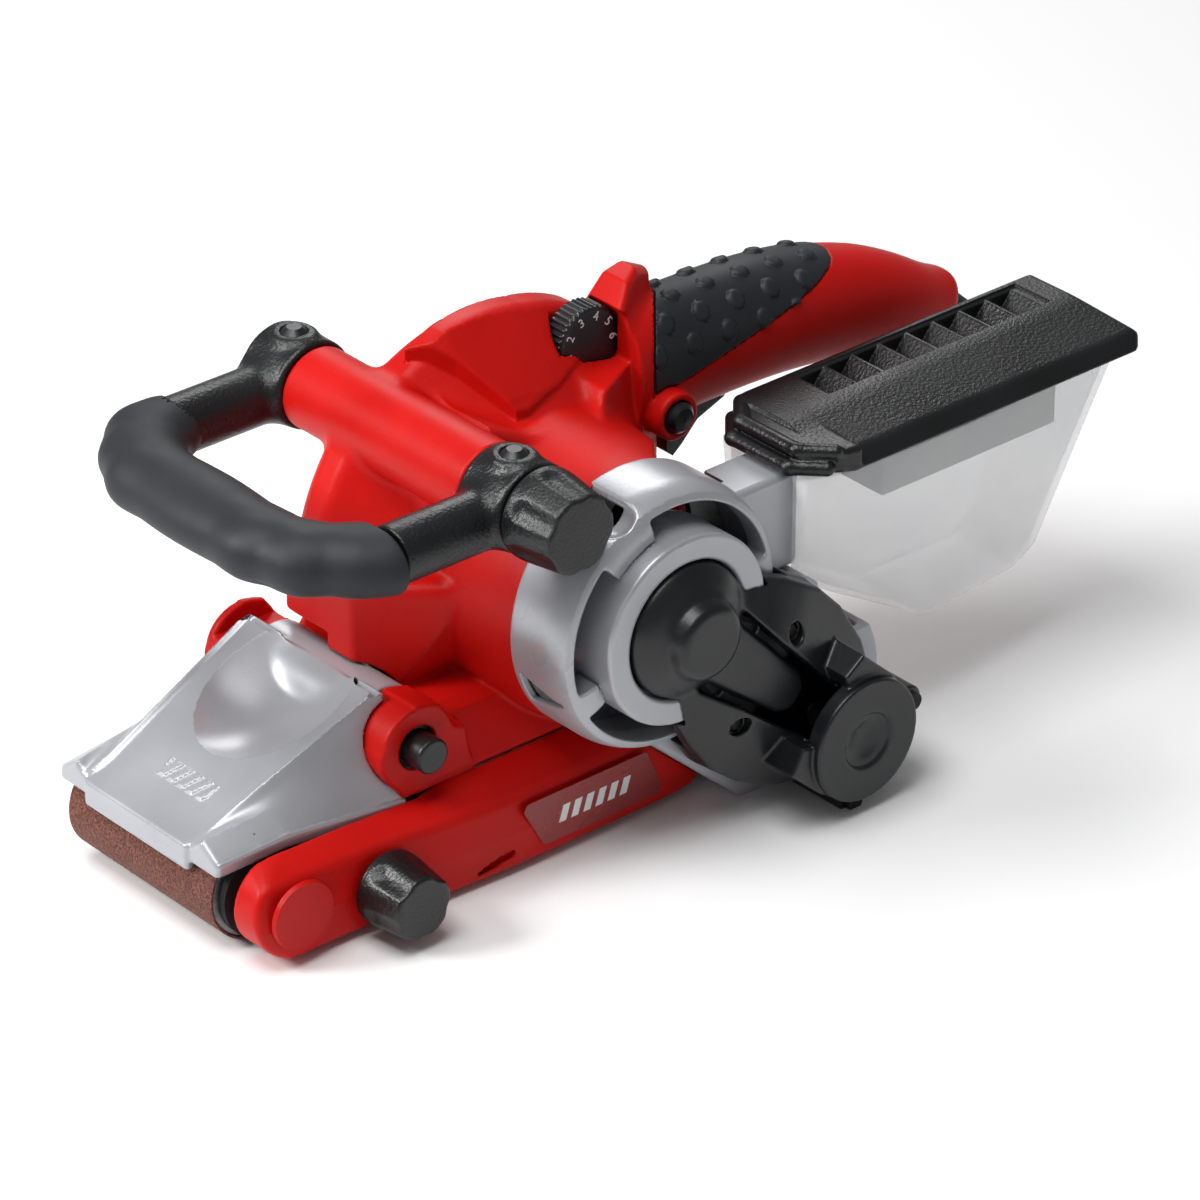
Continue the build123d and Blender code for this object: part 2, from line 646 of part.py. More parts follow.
def on_cover(distance, side):
    """Point on the drive cover: along the line of axes, and square to it."""
    return (MOTOR[0] + along[0] * distance - along[1] * side,
            MOTOR[1] + along[1] * distance + along[0] * side)


COVER_EARS = [on_cover(97.4, 19.2), on_cover(97.4, -19.2)]
COVER_SCREWS = [on_cover(39, 17.5), on_cover(39, -17.5)]
DISC_Y = -110.0             # near face of the dished disc over the drum's end
WING_ROUND = 19.0
with BuildPart() as drive_cover:
    band([(MOTOR, 23.6), (on_cover(46, 14), WING_ROUND), (on_cover(46, -14), WING_ROUND), (DRUM, 25.0)],
         0, CASE_Y - 0.1, COVER_Y)
    bar(MOTOR, RING_RADIUS + 0.5, -70, -84.6, Mode.SUBTRACT)
    bar(MOTOR, 33.5, -70, -88.3, Mode.SUBTRACT)
    bar(MOTOR, 23.6, -75.1, COVER_Y)
    bar(MOTOR, 12.8, COVER_Y, -100)
    bar(DRUM, 22.0, COVER_Y, DISC_Y)
    for centre in COVER_EARS:
        bar(centre, 4.6, CASE_Y - 0.1, -103)
        bar(centre, 1.7, -70, -104, Mode.SUBTRACT)
    band(drive_rounds, 3.4, -70, BELT_NEAR - 1.5, Mode.SUBTRACT)
    bar(DRUM, 19.0, -80, DISC_Y + 3, Mode.SUBTRACT)
    bar(DRUM, 10.0, DISC_Y + 1.5, DISC_Y, Mode.SUBTRACT)
    for centre in COVER_SCREWS:
        bar(centre, 1.7, -70, -100, Mode.SUBTRACT)
        bar(centre, 3.4, COVER_Y + 1.5, -100, Mode.SUBTRACT)
keep("drive_cover", drive_cover)

with BuildPart() as cover_screws:
    for centre in RING_SCREWS:
        bar(centre, 3.2, -66, -69)
        bar(centre, 1.6, -58.5, -66)
    for centre in COVER_SCREWS:
        bar(centre, 3.1, COVER_Y + 1.4, COVER_Y - 1)
        bar(centre, 1.6, COVER_Y + 3, COVER_Y + 1.4)
    for centre in COVER_EARS:
        bar(centre, 3.1, -103.1, -105.2)
        bar(centre, 1.6, -94, -103.1)
keep("cover_screws", cover_screws)

# ---------------------------------------------------------------- front handle
with BuildPart() as clamp_bolt:
    bar(TUBE, 4.0, 62, -80)
    bar(TUBE, 7.0, 66, 62)
keep("clamp_bolt", clamp_bolt)

with BuildPart() as clamp_knob:
    fluted_knob(TUBE, -67.0, -88.0, 15.5, 12.6, 6, 4.05)
keep("clamp_knob", clamp_knob)

BAIL_PATH = [
    (-6, BAIL_HALF, BAIL_Z), (-66, BAIL_HALF, BAIL_Z), (GRIP_X, BAIL_HALF - 20, BAIL_Z),
    (GRIP_X, 20 - BAIL_HALF, BAIL_Z), (-58, -BAIL_HALF, BAIL_Z), (-6, -BAIL_HALF, BAIL_Z),
]
GRIP_PATH = [
    (-60, BAIL_HALF, BAIL_Z), (-67, BAIL_HALF, BAIL_Z), (GRIP_X, BAIL_HALF - 20, BAIL_Z),
    (GRIP_X, 20 - BAIL_HALF, BAIL_Z), (-59, -BAIL_HALF, BAIL_Z), (-48, -BAIL_HALF, BAIL_Z),
]


def bent_rod(points, bend, half_width, half_height, mode=Mode.ADD):
    """Oval rod along a route with rounded corners."""
    with BuildLine() as path:
        FilletPolyline(*points, radius=bend)
    with BuildSketch(Plane(path.line @ 0, x_dir=(0, 1, 0), z_dir=path.line % 0)) as section:
        Ellipse(half_width, half_height)
    sweep(section.sketch, path=path.line, mode=mode)


with BuildPart() as bail_handle:
    bent_rod(BAIL_PATH, 14, 7, 6.5)
    for side in (1, -1):
        with Locations(Location((-8, side * BAIL_HALF, BAIL_Z), (0, -90, 0))):
            Cylinder(10.2, 50, align=(Align.CENTER, Align.CENTER, Align.MIN))
        bar(TUBE, 15.6, side * SCREW_Y + 10.5, side * SCREW_Y - 10.5)
        with Locations((TUBE[0], side * SCREW_Y, TUBE[1])):
            Cylinder(7.0, 16, align=(Align.CENTER, Align.CENTER, Align.MIN))
        with Locations((TUBE[0], side * SCREW_Y, TUBE[1] + 10)):
            Cylinder(4.6, 16, align=(Align.CENTER, Align.CENTER, Align.MIN), mode=Mode.SUBTRACT)
    bar(TUBE, 4.3, 80, -80, Mode.SUBTRACT)
    bar(TUBE, 7.4, 80, 61.7, Mode.SUBTRACT)
keep("bail_handle", bail_handle)

with BuildPart() as bail_screws:
    for side in (1, -1):
        with Locations((TUBE[0], side * SCREW_Y, TUBE[1] + 10)):
            Cylinder(4.55, 6, align=(Align.CENTER, Align.CENTER, Align.MIN))
        with Locations((TUBE[0], side * SCREW_Y, TUBE[1] + 16)):
            Cone(4.55, 2.5, 1.8, align=(Align.CENTER, Align.CENTER, Align.MIN))
keep("bail_screws", bail_screws)

with BuildPart() as bail_grip:
    bent_rod(GRIP_PATH, 13, 12.5, 11)
    add(bail_handle.part, mode=Mode.SUBTRACT)
keep("bail_grip", bail_grip)

# ---------------------------------------------------------------- silver nose cover
LIP_X = -ROLLER_RIM - AXLE_SPACING / 2 - 1.6
COVER_HALF = 44.5
TOP_LINE = [(LIP_X, 36), (-108, 39.5), (-56, 62.5), (-45, 64.2)]
with BuildPart() as nose_cover:
    slab([(LIP_X, 27)] + TOP_LINE + [(-45, 44), (-60, 42), (LIP_X + 2.5, 27)],
         COVER_HALF, -COVER_HALF)
    slab([(LIP_X + 1, 27), (LIP_X + 1, 32), (-52, 44), (-42, 30), (-42, 23.5), (-100, 28)],
         COVER_HALF, -COVER_HALF)
    # Hollow below the plate, over the roller and belt.
    slab([(LIP_X + 2.4, 20), (LIP_X + 2.4, 34.4), (-106.5, 36.6), (-56, 59), (-44, 61), (-30, 61),
          (-30, 20)], 28.6, -28.6, Mode.SUBTRACT)
    slab([(LIP_X + 2.4, 20), (LIP_X + 2.4, 34.4), (-106.5, 36.6), (-57, 58.4), (-30, 50),
          (-30, 20)], 42, -42, Mode.SUBTRACT)
    for far, near in ((60, 28.4), (-28.4, -60)):
        bar(HINGE, EAR_RADIUS + 0.5, far, near, Mode.SUBTRACT)
        slab([(-39, 35), (-39, 66), (-20, 70), (-20, 35)], far, near, Mode.SUBTRACT)
    # Quarter barrel and hub on the hinge pin.
    bar(HINGE, EAR_RADIUS, 28.4, -28.4)
    bar(HINGE, 11.8, 28.4, -28.4, Mode.SUBTRACT)
    slab([HINGE, (-10, 80), (-10, 20), (-60, 20), (-60, 46.5), (-44, 46.5)], 28.4, -28.4,
         Mode.SUBTRACT)
    for far, near in ((28.4, 22), (-22, -28.4)):
        bar(HINGE, 6.4, far, near)
        slab([(-44, 47), (-36, 47), (-36, 62), (-48, 61.5)], far, near)
    bar(HINGE, 3.0 + RUN, 60, -60, Mode.SUBTRACT)
keep("nose_cover", nose_cover)

with BuildPart() as hinge_pin:
    bar(HINGE, 3.0, 49, -54)
    for far, near in ((49, 29.2), (-29.2, -54)):
        bar(HINGE, 4.9, far, near)
keep("hinge_pin", hinge_pin)

# ---------------------------------------------------------------- dust collection
DUCT_Y = (-64.0, -43.0)
DUCT_Z = (71.0, BOX_TOP_Z - 0.4)
DUCT_WALL = 2.2
with BuildPart() as dust_duct:
    block((60, 122), DUCT_Y, DUCT_Z)
    block((50, 130), (DUCT_Y[0] + DUCT_WALL, DUCT_Y[1] - DUCT_WALL),
          (DUCT_Z[0] + DUCT_WALL, DUCT_Z[1] - DUCT_WALL), Mode.SUBTRACT)
    bar(MOTOR, 51.3, 0, RING_Y - 0.1, Mode.SUBTRACT)
    bar(MOTOR, RING_RADIUS + 0.3, RING_Y, -90, Mode.SUBTRACT)
keep("dust_duct", dust_duct)


def box_stations(inset):
    """Top and bottom outlines of the tapered dust box."""
    for z, x_span, y_span in ((BOX_BOTTOM_Z + inset, (127, 222), (-70, -38)),
                              (BOX_TOP_Z, (117, 250), (-76.5, -30))):
        with BuildSketch(Plane.XY.offset(z)) as outline:
            with Locations((sum(x_span) / 2, sum(y_span) / 2)):
                Rectangle(x_span[1] - x_span[0] - 2 * inset, y_span[1] - y_span[0] - 2 * inset)
        yield outline.sketch


outer_outlines = list(box_stations(0))
inner_outlines = list(box_stations(1.6))
with BuildPart() as dust_box:
    loft(outer_outlines)
    fillet(dust_box.edges().filter_by(lambda e: e.length > 30 and abs(e.tangent_at(0).Z) > 0.7), 6)
    loft(inner_outlines, mode=Mode.SUBTRACT)
    block((100, 128), (DUCT_Y[0] - 0.4, DUCT_Y[1] + 0.4), (DUCT_Z[0] - 0.4, 120), Mode.SUBTRACT)
keep("dust_box", dust_box)

SLATS = 8
SLAT_PITCH = 12.2
with BuildPart() as dust_lid:
    with BuildSketch(Plane.XY.offset(BOX_TOP_Z + 0.1)) as skirt:
        with Locations((182, -51.5)):
            RectangleRounded(140, 55, 4)
    with BuildSketch(Plane.XY.offset(LID_TOP_Z)) as top:
        with Locations((181.5, -50.5)):
            RectangleRounded(129, 47, 3)
    loft([skirt.sketch, top.sketch])
    block((95, 114), (-69, -39), (BOX_TOP_Z + 0.1, 117.5))
    block((118, 247), (-72.5, -29.5), (100, LID_TOP_Z - 3), Mode.SUBTRACT)
    for i in range(SLATS):
        x = 145 + SLAT_PITCH * i
        slab([(x, LID_TOP_Z + 1), (x + 10.4, LID_TOP_Z + 1), (x + 6, 110), (x - 4, 110)],
             -29.8, -53, Mode.SUBTRACT)
keep("dust_lid", dust_lid)

with BuildPart() as dust_filter:
    block((128, 240), (-68, -34), (108.5, 111))
    block((150, 230), (-60, -40), (80, 108.5))
    block((153, 227), (-57, -43), (83, 120), Mode.SUBTRACT)
keep("dust_filter", dust_filter)

os.makedirs("parts", exist_ok=True)
for label, part in pieces.items():
    export_step(part, f"parts/{label}.step")
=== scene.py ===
import json
import math

import bmesh
import bpy
import numpy as np
from mathutils import Matrix, Vector


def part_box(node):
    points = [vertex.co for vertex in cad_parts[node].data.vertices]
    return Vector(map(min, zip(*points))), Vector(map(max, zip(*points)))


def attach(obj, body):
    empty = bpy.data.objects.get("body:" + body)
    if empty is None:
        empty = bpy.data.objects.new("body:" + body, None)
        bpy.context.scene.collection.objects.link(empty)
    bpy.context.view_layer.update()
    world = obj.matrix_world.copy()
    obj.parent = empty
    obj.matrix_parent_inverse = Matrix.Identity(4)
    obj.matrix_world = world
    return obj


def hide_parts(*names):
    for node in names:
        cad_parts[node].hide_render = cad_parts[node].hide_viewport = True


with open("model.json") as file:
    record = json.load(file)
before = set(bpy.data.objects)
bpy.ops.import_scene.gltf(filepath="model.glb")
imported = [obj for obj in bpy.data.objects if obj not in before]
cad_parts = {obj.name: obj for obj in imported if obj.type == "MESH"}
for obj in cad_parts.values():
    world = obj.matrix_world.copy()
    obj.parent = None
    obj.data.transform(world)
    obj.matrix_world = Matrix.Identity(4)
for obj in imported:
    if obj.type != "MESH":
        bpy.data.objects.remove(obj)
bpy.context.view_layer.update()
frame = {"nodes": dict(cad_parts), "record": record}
record = frame["record"]

# ------------------------ camera, floor and light
CAMERA_AT = Vector((-1.1103, -1.3714, 1.0719))
CAMERA_AZIMUTH = math.radians(-40.9)
CAMERA_ELEVATION = math.radians(29.6)
SENSOR_MM = 36.0
LENS_MM = 186.45
TOOL_MIDDLE = Vector((0.04, 0, 0.07))
FLOOR_HALF = 3.0            # metres
FLOOR_SHADE = 0.96


def aimed(azimuth, elevation):
    """Rotation of a camera or lamp that looks at the object from that direction."""
    back = Vector((math.sin(azimuth) * math.cos(elevation),
                   -math.cos(azimuth) * math.cos(elevation), math.sin(elevation)))
    right = Vector((math.cos(azimuth), math.sin(azimuth), 0))
    up = back.cross(right)
    return Matrix((right, up, back)).transposed()


def link(name, data):
    thing = bpy.data.objects.new(name, data)
    bpy.context.scene.collection.objects.link(thing)
    return thing


def make_camera():
    data = bpy.data.cameras.new("camera")
    data.sensor_width = SENSOR_MM
    data.lens = LENS_MM
    data.clip_end = 20
    camera = link("camera", data)
    turn = aimed(CAMERA_AZIMUTH, CAMERA_ELEVATION)
    camera.matrix_world = Matrix.Translation(CAMERA_AT) @ turn.to_4x4()
    bpy.context.scene.camera = camera


def softbox(name, azimuth, elevation, distance, size, watts):
    """Square area lamp aimed at the middle of the tool."""
    data = bpy.data.lights.new(name, "AREA")
    data.size = size
    data.energy = watts
    lamp = link(name, data)
    turn = aimed(math.radians(azimuth), math.radians(elevation))
    lamp.matrix_world = Matrix.Translation(TOOL_MIDDLE + turn.col[2] * distance) @ turn.to_4x4()


def make_studio():
    world = bpy.data.worlds.new("studio")
    bpy.context.scene.world = world
    world.use_nodes = True
    world.node_tree.nodes["Background"].inputs["Color"].default_value = (1, 1, 1, 1)
    world.node_tree.nodes["Background"].inputs["Strength"].default_value = 0.21
    softbox("overhead", -80, 72, 1.5, 0.9, 17)
    softbox("key", -115, 34, 1.4, 0.4, 13)
    softbox("back", 140, 35, 1.5, 0.6, 5)
    bpy.context.scene.view_settings.view_transform = "Standard"
    bpy.context.scene.view_settings.look = "None"
    data = bpy.data.meshes.new("floor")
    half = FLOOR_HALF
    corners = [(-half, -half, 0), (half, -half, 0), (half, half, 0), (-half, half, 0)]
    data.from_pydata(corners, [], [(0, 1, 2, 3)])
    floor = link("floor", data)
    paint = bpy.data.materials.new("floor")
    paint.use_nodes = True
    shader = paint.node_tree.nodes["Principled BSDF"]
    shader.inputs["Base Color"].default_value = (FLOOR_SHADE, FLOOR_SHADE, FLOOR_SHADE, 1)
    shader.inputs["Roughness"].default_value = 0.8
    data.materials.append(paint)


make_camera()
make_studio()

# ------------------------ places taken from the frame, in mm
MM = 1000.0


def reach(node):
    """Lowest and highest corner of a CAD node, in millimetres."""
    low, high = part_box(node)
    return [c * MM for c in low], [c * MM for c in high]


def middle(node):
    low, high = reach(node)
    return [(a + b) / 2 for a, b in zip(low, high)]


def axis_of(node):
    """X and Z of a node that is round about an axis along Y."""
    x, _, z = middle(node)
    return x, z


MOTOR = axis_of("rotor_shaft")
DRUM = axis_of("drum_shaft")
ROLLER = axis_of("roller_axle")
TUBE = axis_of("clamp_bolt")
HINGE = axis_of("hinge_pin")
KNOB = axis_of("tracking_screw")
DIAL = axis_of("speed_dial")
LOCK = axis_of("lock_button")
RING_NEAR, RING_FAR = reach("end_ring")[0][1], reach("end_ring")[1][1]
RING_RADIUS = (reach("end_ring")[1][0] - reach("end_ring")[0][0]) / 2
FAR_END = reach("housing_far")[1][1]
DISC_Y = reach("drive_cover")[0][1]
LINE = math.hypot(DRUM[0] - MOTOR[0], DRUM[1] - MOTOR[1])
ALONG = ((DRUM[0] - MOTOR[0]) / LINE, (DRUM[1] - MOTOR[1]) / LINE)


# ------------------------ distance fields
def join(a, b, soft):
    """Union of two solids with a fillet."""
    near = np.maximum(soft - np.abs(a - b), 0)
    return np.minimum(a, b) - near * near / (4 * soft)


def meet(a, b, soft):
    """What two solids share, with a rounded edge."""
    return -join(-a, -b, soft)


def cut(a, b, soft):
    """The first solid less the second, with a rounded edge."""
    return meet(a, -b, soft)


def disc(u, v, centre, radius):
    return np.hypot(u - centre[0], v - centre[1]) - radius


def bored(d, x, y, z, centre, radius, low, high, soft=0.3, edge=0.3):
    """A solid with a round hole along Y, from y = low to y = high."""
    return cut(d, prism(disc(x, z, centre, radius), y, low, high, edge), soft)


def polygon(u, v, points):
    """Signed distance to a closed outline."""
    square, inside = None, False
    for (au, av), (bu, bv) in zip(points, points[1:] + points[:1]):
        eu, ev = bu - au, bv - av
        wu, wv = u - au, v - av
        t = np.clip((wu * eu + wv * ev) / (eu * eu + ev * ev), 0, 1)
        gap = (wu - eu * t) ** 2 + (wv - ev * t) ** 2
        square = gap if square is None else np.minimum(square, gap)
        if ev:
            inside = inside ^ (((av > v) != (bv > v)) & (u < eu * (v - av) / ev + au))
    return np.where(inside, -1.0, 1.0) * np.sqrt(square)


def prism(section, t, low, high, soft):
    """A section carried from t = low to t = high, with rounded ends."""
    a = section + soft
    b = np.abs(t - (low + high) / 2) - (high - low) / 2 + soft
    return np.hypot(np.maximum(a, 0), np.maximum(b, 0)) + np.minimum(np.maximum(a, b), 0) - soft


def box(u, v, w, low, high, soft):
    """Rounded box."""
    gaps = [np.abs(c - (a + b) / 2) - (b - a) / 2 + soft for c, a, b in zip((u, v, w), low, high)]
    outside = sum(np.maximum(g, 0) ** 2 for g in gaps)
    return np.sqrt(outside) + np.minimum(np.maximum(np.maximum(gaps[0], gaps[1]), gaps[2]), 0) - soft


def rod(x, y, z, start, end, radius, end_radius=None):
    """Round-ended rod, tapered where its two radii differ."""
    end_radius = radius if end_radius is None else end_radius
    run = [b - a for a, b in zip(start, end)]
    length = sum(c * c for c in run)
    t = np.clip(((x - start[0]) * run[0] + (y - start[1]) * run[1] + (z - start[2]) * run[2]) / length, 0, 1)
    gap = (x - start[0] - t * run[0]) ** 2 + (y - start[1] - t * run[1]) ** 2
    gap = gap + (z - start[2] - t * run[2]) ** 2
    return np.sqrt(gap) - radius - t * (end_radius - radius)


def side_of(x, y, z, normal, point):
    """Distance in front of the plane through a point, square to a normal."""
    length = math.sqrt(sum(c * c for c in normal))
    return ((x - point[0]) * normal[0] + (y - point[1]) * normal[1] + (z - point[2]) * normal[2]) / length


def hull2(u, v, a, radius_a, b, radius_b):
    """Hull of two circles."""
    length = math.hypot(b[0] - a[0], b[1] - a[1])
    eu, ev = (b[0] - a[0]) / length, (b[1] - a[1]) / length
    s = (u - a[0]) * eu + (v - a[1]) * ev
    t = np.abs((v - a[1]) * eu - (u - a[0]) * ev)
    lean = (radius_a - radius_b) / length
    rise = math.sqrt(1 - lean * lean)
    k = s * rise - t * lean
    side = s * lean + t * rise - radius_a
    start = np.hypot(s, t) - radius_a
    end = np.hypot(s - length, t) - radius_b
    return np.where(k < 0, start, np.where(k > length * rise, end, side))


def eased(t, stops, soft):
    """Value along a line of (t, value) stops, with its corners eased over soft."""
    places, values = zip(*stops)
    shifts = np.linspace(-soft, soft, 9)
    return sum(np.interp(t + s, places, values) for s in shifts) / len(shifts)


def turned(x, y, z, centre, stops, soft):
    """Solid of revolution about an axis along Y, from (y, radius) stops; its ends are open."""
    q = np.hypot(x - centre[0], z - centre[1])
    slope = eased(y + 0.5, stops, soft) - eased(y - 0.5, stops, soft)
    return (q - eased(y, stops, soft)) / np.sqrt(1 + slope * slope)


# ------------------------ from a field to a mesh
NEWTON_STEPS = 4            # moves each point onto the surface


def slopes(field, p, gap=0.05):
    """Gradient of a field at points given as rows."""
    out = np.empty_like(p)
    for axis in range(3):
        step = np.zeros(3)
        step[axis] = gap
        ahead, behind = (p + step).T, (p - step).T
        out[:, axis] = (field(*ahead) - field(*behind)) / (2 * gap)
    return out


def unit_normals(field, points):
    normals = slopes(field, points)
    return normals / np.maximum(np.linalg.norm(normals, axis=1), 1e-6)[:, None]


def surface(field, low, high, step):
    """Quads of the surface where a field is zero, with their normals (surface nets)."""
    axes = [np.arange(a - step, b + 2 * step, step) for a, b in zip(low, high)]
    x, y, z = (a.reshape([-1 if i == k else 1 for i in range(3)]) for k, a in enumerate(axes))
    d = np.broadcast_to(field(x, y, z), [len(a) for a in axes]).astype(np.float32)
    inside = d < 0
    corners = [(i, j, k) for i in (0, 1) for j in (0, 1) for k in (0, 1)]
    shape = [n - 1 for n in d.shape]
    count = np.zeros(shape, np.uint8)
    for i, j, k in corners:
        count += inside[i:i + shape[0], j:j + shape[1], k:k + shape[2]]
    cells = np.argwhere((count > 0) & (count < 8))
    ids = np.full(shape, -1, np.int32)
    ids[tuple(cells.T)] = np.arange(len(cells))
    total, hits = np.zeros((len(cells), 3)), np.zeros(len(cells))
    for corner in corners:
        for axis in range(3):
            if corner[axis]:
                continue
            other = list(corner)
            other[axis] = 1
            a = d[tuple((cells + corner).T)]
            b = d[tuple((cells + other).T)]
            hit = (a < 0) != (b < 0)
            t = np.where(hit, a / np.where(hit, a - b, 1), 0)
            place = np.repeat(np.array([corner], float), len(cells), 0)
            place[:, axis] = t
            total[hit] += place[hit]
            hits += hit
    points = (cells + total / hits[:, None]) * step + [a[0] for a in axes]
    quads = []
    for axis in range(3):
        u, v = (axis + 1) % 3, (axis + 2) % 3
        size = list(d.shape)
        size[axis] -= 1
        ahead = np.take(inside, range(1, d.shape[axis]), axis)
        here = np.take(inside, range(size[axis]), axis)
        at = np.argwhere(here != ahead)
        at = at[(at[:, u] > 0) & (at[:, v] > 0) & (at[:, u] < shape[u]) & (at[:, v] < shape[v])]
        step_u, step_v = np.zeros(3, int), np.zeros(3, int)
        step_u[u] = step_v[v] = 1
        ring = [ids[tuple((at - shift).T)] for shift in (0, step_u, step_u + step_v, step_v)]
        ring = np.stack(ring, 1)
        flip = ~here[tuple(at.T)]
        ring[flip] = ring[flip][:, ::-1]
        quads.append(ring)
    quads = np.concatenate(quads)
    for _ in range(NEWTON_STEPS):
        slope = slopes(field, points)
        value = field(*points.T)
        move = -value / np.maximum((slope ** 2).sum(1), 0.05)
        points = points + np.clip(move, -step / 2, step / 2)[:, None] * slope
    return points, quads, unit_normals(field, points)


def mesh_of(name, points, quads, normals=None):
    mesh = bpy.data.meshes.new(name)
    mesh.vertices.add(len(points))
    mesh.vertices.foreach_set("co", (points / MM).astype(np.float32).ravel())
    mesh.loops.add(quads.size)
    mesh.loops.foreach_set("vertex_index", quads.astype(np.int32).ravel())
    mesh.polygons.add(len(quads))
    mesh.polygons.foreach_set("loop_start", np.arange(0, quads.size, quads.shape[1], dtype=np.int32))
    mesh.update()
    mesh.validate()
    mesh.polygons.foreach_set("use_smooth", np.ones(len(mesh.polygons), bool))
    if normals is not None:
        mesh.normals_split_custom_set_from_vertices(normals.astype(np.float32))
    return mesh


def body_of(node):
    """The moving body that a CAD node belongs to."""
    return next(b for b, nodes in record["behaviour"]["bodies"].items() if node in nodes)


def sculpt(node, field, paint, step=1.0, grow=1.5, low=None, high=None):
    """A visible piece made from a field, standing for the CAD node of that name."""
    box_low, box_high = reach(node)
    low = low or [c - grow for c in box_low]
    high = high or [c + grow for c in box_high]
    points, quads, normals = surface(field, low, high, step)
    piece = link(node + "_skin", mesh_of(node + "_skin", points, quads, normals))
    piece.data.materials.append(paint)
    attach(piece, body_of(node))
    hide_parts(node)


# ------------------------ materials
def shader_nodes(name):
    paint = bpy.data.materials.new(name)
    paint.use_nodes = True
    tree = paint.node_tree
    return paint, tree, tree.nodes["Principled BSDF"]


def pattern(tree, kind, scale, **settings):
    """Noise or Voronoi texture in object coordinates, with a given scale per metre."""
    places = next((n for n in tree.nodes if n.type == "TEX_COORD"), None)
    places = places or tree.nodes.new("ShaderNodeTexCoord")
    texture = tree.nodes.new(kind)
    texture.inputs["Scale"].default_value = scale
    for key, value in settings.items():
        texture.inputs[key].default_value = value
    tree.links.new(places.outputs["Object"], texture.inputs["Vector"])
    return texture


def ramp(tree, source, low, high, span=(0.35, 0.65)):
    """Colour between two colours as a pattern rises through a span."""
    node = tree.nodes.new("ShaderNodeValToRGB")
    node.color_ramp.elements[0].position = span[0]
    node.color_ramp.elements[1].position = span[1]
    node.color_ramp.elements[0].color = (*low, 1)
    node.color_ramp.elements[1].color = (*high, 1)
    tree.links.new(source, node.inputs["Fac"])
    return node.outputs["Color"]


def bump(tree, source, depth_mm, into=None):
    node = tree.nodes.new("ShaderNodeBump")
    node.inputs["Strength"].default_value = 1.0
    node.inputs["Distance"].default_value = depth_mm / MM
    tree.links.new(source, node.inputs["Height"])
    if into is not None:
        tree.links.new(into, node.inputs["Normal"])
    return node.outputs["Normal"]


def shade(colour, factor):
    return tuple(min(c * factor, 1.0) for c in colour)


GLOSS_SPREAD = 0.06


def moulded(name, colour, rough, grain_mm, depth_mm, metal=0.0, variation=0.12, coat=0.0, specular=0.5):
    """Moulded or cast surface: a fine grain, faint blotches of colour and uneven gloss."""
    paint, tree, shader = shader_nodes(name)
    blotch = pattern(tree, "ShaderNodeTexNoise", 28.0, Detail=4.0)
    grain = pattern(tree, "ShaderNodeTexNoise", MM / grain_mm, Detail=2.0)
    tree.links.new(
        ramp(tree, blotch.outputs["Fac"], shade(colour, 1 - variation), shade(colour, 1 + variation)),
        shader.inputs["Base Color"])
    gloss, dull = (rough - GLOSS_SPREAD,) * 3, (rough + GLOSS_SPREAD,) * 3
    tree.links.new(ramp(tree, blotch.outputs["Fac"], gloss, dull), shader.inputs["Roughness"])
    tree.links.new(bump(tree, grain.outputs["Fac"], depth_mm), shader.inputs["Normal"])
    shader.inputs["Metallic"].default_value = metal
    shader.inputs["Coat Weight"].default_value = coat
    shader.inputs["Coat Roughness"].default_value = 0.2
    shader.inputs["Specular IOR Level"].default_value = specular
    return paint


def make_abrasive():
    """Grit bonded on cloth: separate dark and light grains standing up from a red-brown bond."""
    paint, tree, shader = shader_nodes("abrasive_grit")
    grit = pattern(tree, "ShaderNodeTexVoronoi", 950.0)
    fine = pattern(tree, "ShaderNodeTexNoise", 1200.0, Detail=4.0, Roughness=0.7)
    tree.links.new(
        ramp(tree, fine.outputs["Fac"], (0.028, 0.006, 0.004), (0.30, 0.095, 0.060), (0.36, 0.66)),
        shader.inputs["Base Color"])
    shader.inputs["Roughness"].default_value = 0.75
    grain = bump(tree, grit.outputs["Distance"], 0.6)
    tree.links.new(bump(tree, fine.outputs["Fac"], 0.4, grain), shader.inputs["Normal"])
    return paint


def make_clear():
    """Milky see-through moulding of the dust box."""
    paint, tree, shader = shader_nodes("milky_plastic")
    cloud = pattern(tree, "ShaderNodeTexNoise", 22.0, Detail=3.0)
    tree.links.new(ramp(tree, cloud.outputs["Fac"], (0.90, 0.92, 0.95), (0.97, 0.98, 0.99)),
                   shader.inputs["Base Color"])
    fine = pattern(tree, "ShaderNodeTexNoise", 900.0, Detail=1.0)
    tree.links.new(bump(tree, fine.outputs["Fac"], 0.02), shader.inputs["Normal"])
    shader.inputs["Roughness"].default_value = 0.16
    shader.inputs["Alpha"].default_value = 0.30
    return paint


def turned_steel(name, colour, rough):
    """Machined metal with rings of fine tool marks."""
    paint, tree, shader = shader_nodes(name)
    marks = pattern(tree, "ShaderNodeTexNoise", 260.0, Detail=6.0, Roughness=0.7)
    tree.links.new(ramp(tree, marks.outputs["Fac"], shade(colour, 0.8), shade(colour, 1.1)),
                   shader.inputs["Base Color"])
    tree.links.new(bump(tree, marks.outputs["Fac"], 0.03), shader.inputs["Normal"])
    shader.inputs["Metallic"].default_value = 1.0
    shader.inputs["Roughness"].default_value = rough
    return paint


